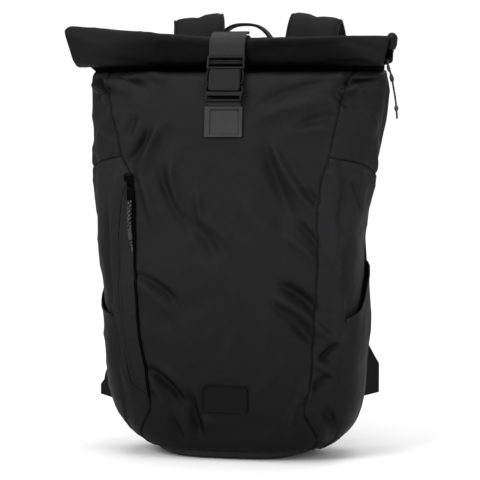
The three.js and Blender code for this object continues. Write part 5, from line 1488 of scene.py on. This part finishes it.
def shoulder_parts():
    """The two straps from the yoke over the shoulders' arch and down to the ladder locks."""
    away_from = back_y(SHOULDER_LINE[0, 2] * BODY_HEIGHT) + SEAM_GAP + SHOULDER_THICK / 2
    index = np.arange(len(SHOULDER_LINE))
    wide, drop = smooth_column(index, SHOULDER_LINE[:, 3]), smooth_column(index, SHOULDER_LINE[:, 4])
    for side, sign in (("left", -1), ("right", 1)):
        knots = np.stack([sign * SHOULDER_LINE[:, 0] * BODY_WIDTH + SHOULDER_SHIFT,
                          away_from + SHOULDER_LINE[:, 1] * BODY_DEPTH,
                          SHOULDER_LINE[:, 2] * BODY_HEIGHT], -1)
        line = smooth_line(knots, 150)
        run, chord = distances(line), distances(knots)
        share = run / run[-1]
        place = np.interp(share, chord / chord[-1], index)
        down = np.radians(drop(place))
        across = np.stack([np.cos(down), 0 * down, -sign * np.sin(down)], -1)
        seams = np.exp(-((share[:, None] - np.array([0.47, 0.62, 0.78])) / 0.004) ** 2).max(1)
        puffed = 1 - 0.15 * seams - 0.4 * np.exp(-(share / 0.012) ** 2)
        puffed = puffed - 0.45 * np.exp(-((1 - share) / 0.012) ** 2)
        outline = np.stack([pad_outline(SHOULDER_WIDTH * w - 0.002, SHOULDER_THICK * p, 0.42)
                            for w, p in zip(wide(place), puffed)])
        strap = sweep(f"shoulder_pad_{side}", line, across, outline, STRAP_CLOTH)
        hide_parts(f"shoulder_strap_{side}")
        ahead = unit(np.gradient(line, axis=0))
        square = unit(across - ahead * np.sum(across * ahead, -1, keepdims=True))
        for edge, name in ((-1, "in" if sign > 0 else "out"), (1, "out" if sign > 0 else "in")):
            bound = line + square * (edge * (SHOULDER_WIDTH * wide(place) / 2 - 0.0020))[:, None]
            sweep(f"shoulder_binding_{side}_{name}", bound, np.cross(ahead, square),
                  band_outline(0.0052, 0.0030, 6), BINDING)
        strap_foot(side, sign, line)


# Lowest and highest share of the height of each wing's root on the back seam, of its tip and of the webbing
# sewn on it; its reach out as a share of the width and back as a share of the depth
WING_ROOT = {"left": (0.075, 0.36), "right": (0.12, 0.4)}
WING_TIP = {"left": (0.118, 0.146), "right": (0.142, 0.22)}
WING_REACH = {"left": 0.567, "right": 0.472}
WING_LEAN = {"left": 0.02, "right": 0.11}
TRIM_UP = {"left": (0.123, 0.17), "right": (0.147, 0.2)}


def strap_foot(side, sign, strap_line):
    """Ladder lock at the strap's end, the webbing from it down to the wing, and the wing."""
    down = unit(strap_line[-1] - strap_line[-4])
    middle = strap_line[-1] + down * (SEAM_GAP + LOCK_HEIGHT / 2)
    up = -down
    across = unit(np.array([1.0, 0, 0]) - up * up[0])
    depth = np.cross(up, across)

    def place(local):
        """From the lock's frame to the bag's."""
        return middle + local[..., :1] * across + local[..., 1:2] * depth + local[..., 2:] * up

    xs = np.array([-LOCK_WIDTH / 2, -0.0132, 0.0132, LOCK_WIDTH / 2])
    zs = np.array([-LOCK_HEIGHT / 2, -0.0044, -0.0014, 0.0014, 0.0044, LOCK_HEIGHT / 2])
    lock = barred_plate(f"lock_frame_{side}", xs, zs, {(1, 1), (1, 3)}, LOCK_THICK, 0.0008, place)
    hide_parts(f"ladder_lock_{side}")
    reach = WING_REACH[side] * BODY_WIDTH
    tip_y = back_y(0.14 * BODY_HEIGHT) + WING_LEAN[side] * BODY_DEPTH
    seam_of, inwards = (back_left, -1) if side == "left" else (back_right, 1)
    rows = 33
    roots = np.linspace(*WING_ROOT[side], rows) * BODY_HEIGHT
    tips = np.linspace(*WING_TIP[side], rows) * BODY_HEIGHT
    faces = []
    for which in (0, 1):
        level = level_at(roots)
        sewn = skin(level, seam_of(level) + inwards * (SEAM_GAP + which * WING_THICK), SEAM_GAP)
        end = np.stack(np.broadcast_arrays(sign * reach, tip_y + which * WING_THICK, tips), -1)
        share = spread(40, 0.4)[None, :, None]
        face = sewn[:, None] * (1 - share) + end[:, None] * share
        sag = 0.0012 * np.sin(np.pi * share[..., 0]) * np.sin(np.linspace(0, 3 * np.pi, rows))[:, None]
        rounding = 0.0009 * (1 if which == 0 else -1)
        rim_gap = np.minimum(np.arange(rows), rows - 1 - np.arange(rows))[:, None] * 0.002
        face[..., 1] += sag + rounding * np.exp(-(rim_gap / 0.0015) ** 2)
        faces.append(face)
    outer, inner = faces[::-1] if side == "left" else faces
    s = np.linalg.norm(outer - outer[:, :1], axis=-1)
    wing = slab(f"wing_cloth_{side}", outer, inner, SIDE, np.stack([s, outer[..., 2]], -1))
    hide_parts(f"wing_{side}")
    inset, on_wing = 0.0165, tip_y + WING_THICK + SEAM_GAP + LOWER_THICK / 2
    low = np.array([sign * (reach - inset), on_wing, TRIM_UP[side][0] * BODY_HEIGHT])
    rise = low + (0, SEAM_GAP, (TRIM_UP[side][1] - TRIM_UP[side][0]) * BODY_HEIGHT)
    top = middle - depth * (LOCK_THICK / 2 + 3.5 * SEAM_GAP + LOWER_THICK / 2)
    line = smooth_line(np.stack([low, rise, (rise + top) / 2, top, top + up * 0.004]), 60)
    trim = sweep(f"lower_webbing_{side}", line, (1, 0, 0), band_outline(LOWER_WIDTH, LOWER_THICK), BAND)
    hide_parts(f"strap_webbing_{side}")


def grab_handle():
    """An arch of folded webbing whose width runs from front to back: a superellipse's upper half."""
    roof = table_points[:, 0]
    part = roof[roof[:, 2] > 0.9 * BODY_HEIGHT]
    foot = float(np.interp(-(HANDLE_Y - HANDLE_WIDTH / 2), -part[:, 1], part[:, 2])) + SEAM_GAP
    angle = np.linspace(np.pi, 0, 90)
    x = HANDLE_SPAN / 2 * signed_power(np.cos(angle), 0.75)
    z = foot + (HANDLE_TOP - HANDLE_THICK / 2 - foot) * np.abs(np.sin(angle)) ** 0.9
    line = smooth_line(np.stack([x, np.full(90, HANDLE_Y), z], -1), 90)
    handle = sweep("handle_webbing", line, (0, 1, 0), band_outline(HANDLE_WIDTH, HANDLE_THICK), HANDLE)
    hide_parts("grab_handle")


shoulder_parts()
grab_handle()


# Zip end on the roll's right end
def roll_zip():
    """A folded lump of cloth round the zip's end, with the slider below it."""
    x = float(ROLL_SECTIONS[-1, 0] * ROLL_LENGTH)
    _, _, y, z, lean = [float(v) for v in roll_shape(x)]

    def end_at(height):
        """Where the roll's leaning end is at a height."""
        return x + lean * (height - roll_foot)

    lump_z = z + 0.011
    centre = np.array([end_at(lump_z) + SEAM_GAP + 0.0012, y, lump_z])
    polar = np.linspace(0.05, np.pi - 0.05, 40)[:, None]
    turn = np.linspace(0, 2 * np.pi, 48, endpoint=False)[None, :]
    swell = 1 + 0.07 * np.sin(3 * turn + 4 * polar) + 0.05 * np.cos(5 * turn - 3 * polar)
    size = np.stack([0.0056 * signed_power(np.sin(polar), 0.8) * np.cos(turn) * swell,
                     0.0075 * signed_power(np.sin(polar), 0.8) * np.sin(turn) * swell,
                     -0.0092 * signed_power(np.cos(polar), 0.85) * np.ones_like(turn)], -1)
    rings = centre + size
    lump = tube("zip_end_cloth", rings, SHELL, rings[..., [1, 2]])
    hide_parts("roll_zip_end")
    slider_z = lump_z - 0.01375 - SEAM_GAP + 0.0006
    middle = np.array([end_at(slider_z + 0.0045) + SEAM_GAP + 0.00225, y, slider_z])
    slider = block("roll_slider_body", 0.00225, 0.0044, 0.001, edge_profile(0.0048, 0.0010, 0.0, 0.0018),
                   lambda local: middle + local, ZIP)
    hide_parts("roll_zip_slider")


roll_zip()


# Floor and light
FLOOR_REACH = 1.5


def floor():
    """A round pale floor under the bag, seen as one with the white round it."""
    finish = Finish("pale floor", (0.92, 0.92, 0.92), 0.9, 0.1)
    mesh = bpy.data.meshes.new("floor")
    turn = np.linspace(0, 2 * np.pi, 96, endpoint=False)
    edge = np.stack([np.cos(turn), np.sin(turn), 0 * turn], -1) * FLOOR_REACH
    mesh.from_pydata(edge.tolist(), [], [list(range(96))])
    mesh.materials.append(finish.material)
    thing = add_object("floor", mesh)


def soft_light(name, place, aim, size, watts):
    """A square softbox at a place, facing an aim."""
    data = bpy.data.lights.new(name, "AREA")
    data.shape, data.size, data.energy = "SQUARE", size, watts
    thing = add_object(name, data)
    ahead = unit(np.array(aim, float) - np.array(place, float))
    side = unit(np.cross(ahead, (0, 0, 1)))
    above = np.cross(side, ahead)
    turned = np.eye(4)
    turned[:3, 0], turned[:3, 1], turned[:3, 2], turned[:3, 3] = side, above, -ahead, place
    thing.matrix_world = turned.T.tolist()


def world():
    """White all round, dimmer as a light than as what the camera sees."""
    surroundings = bpy.data.worlds.new("studio")
    surroundings.use_nodes = True
    bpy.context.scene.world = surroundings
    nodes, links = surroundings.node_tree.nodes, surroundings.node_tree.links
    nodes.clear()
    path, choice, out = [nodes.new("ShaderNode" + kind) for kind in ("LightPath", "MixShader", "OutputWorld")]
    seen, lit = nodes.new("ShaderNodeBackground"), nodes.new("ShaderNodeBackground")
    seen.inputs["Color"].default_value = lit.inputs["Color"].default_value = (1, 1, 1, 1)
    seen.inputs["Strength"].default_value, lit.inputs["Strength"].default_value = 1.05, 0.36
    links.new(path.outputs["Is Camera Ray"], choice.inputs[0])
    links.new(lit.outputs[0], choice.inputs[1])
    links.new(seen.outputs[0], choice.inputs[2])
    links.new(choice.outputs[0], out.inputs[0])


floor()
world()
MID_BAG = (0, 0, 0.25)
soft_light("key", (-1.5, -2.3, 2.0), MID_BAG, 1.5, 70)
soft_light("fill", (2.0, -1.9, 1.2), MID_BAG, 1.6, 30)
soft_light("top", (0, 0.1, 3.0), (0, 0, 0), 2.6, 60)
soft_light("back", (0.9, 2.3, 2.2), MID_BAG, 1.6, 26)
bpy.context.scene.view_settings.view_transform = "Standard"
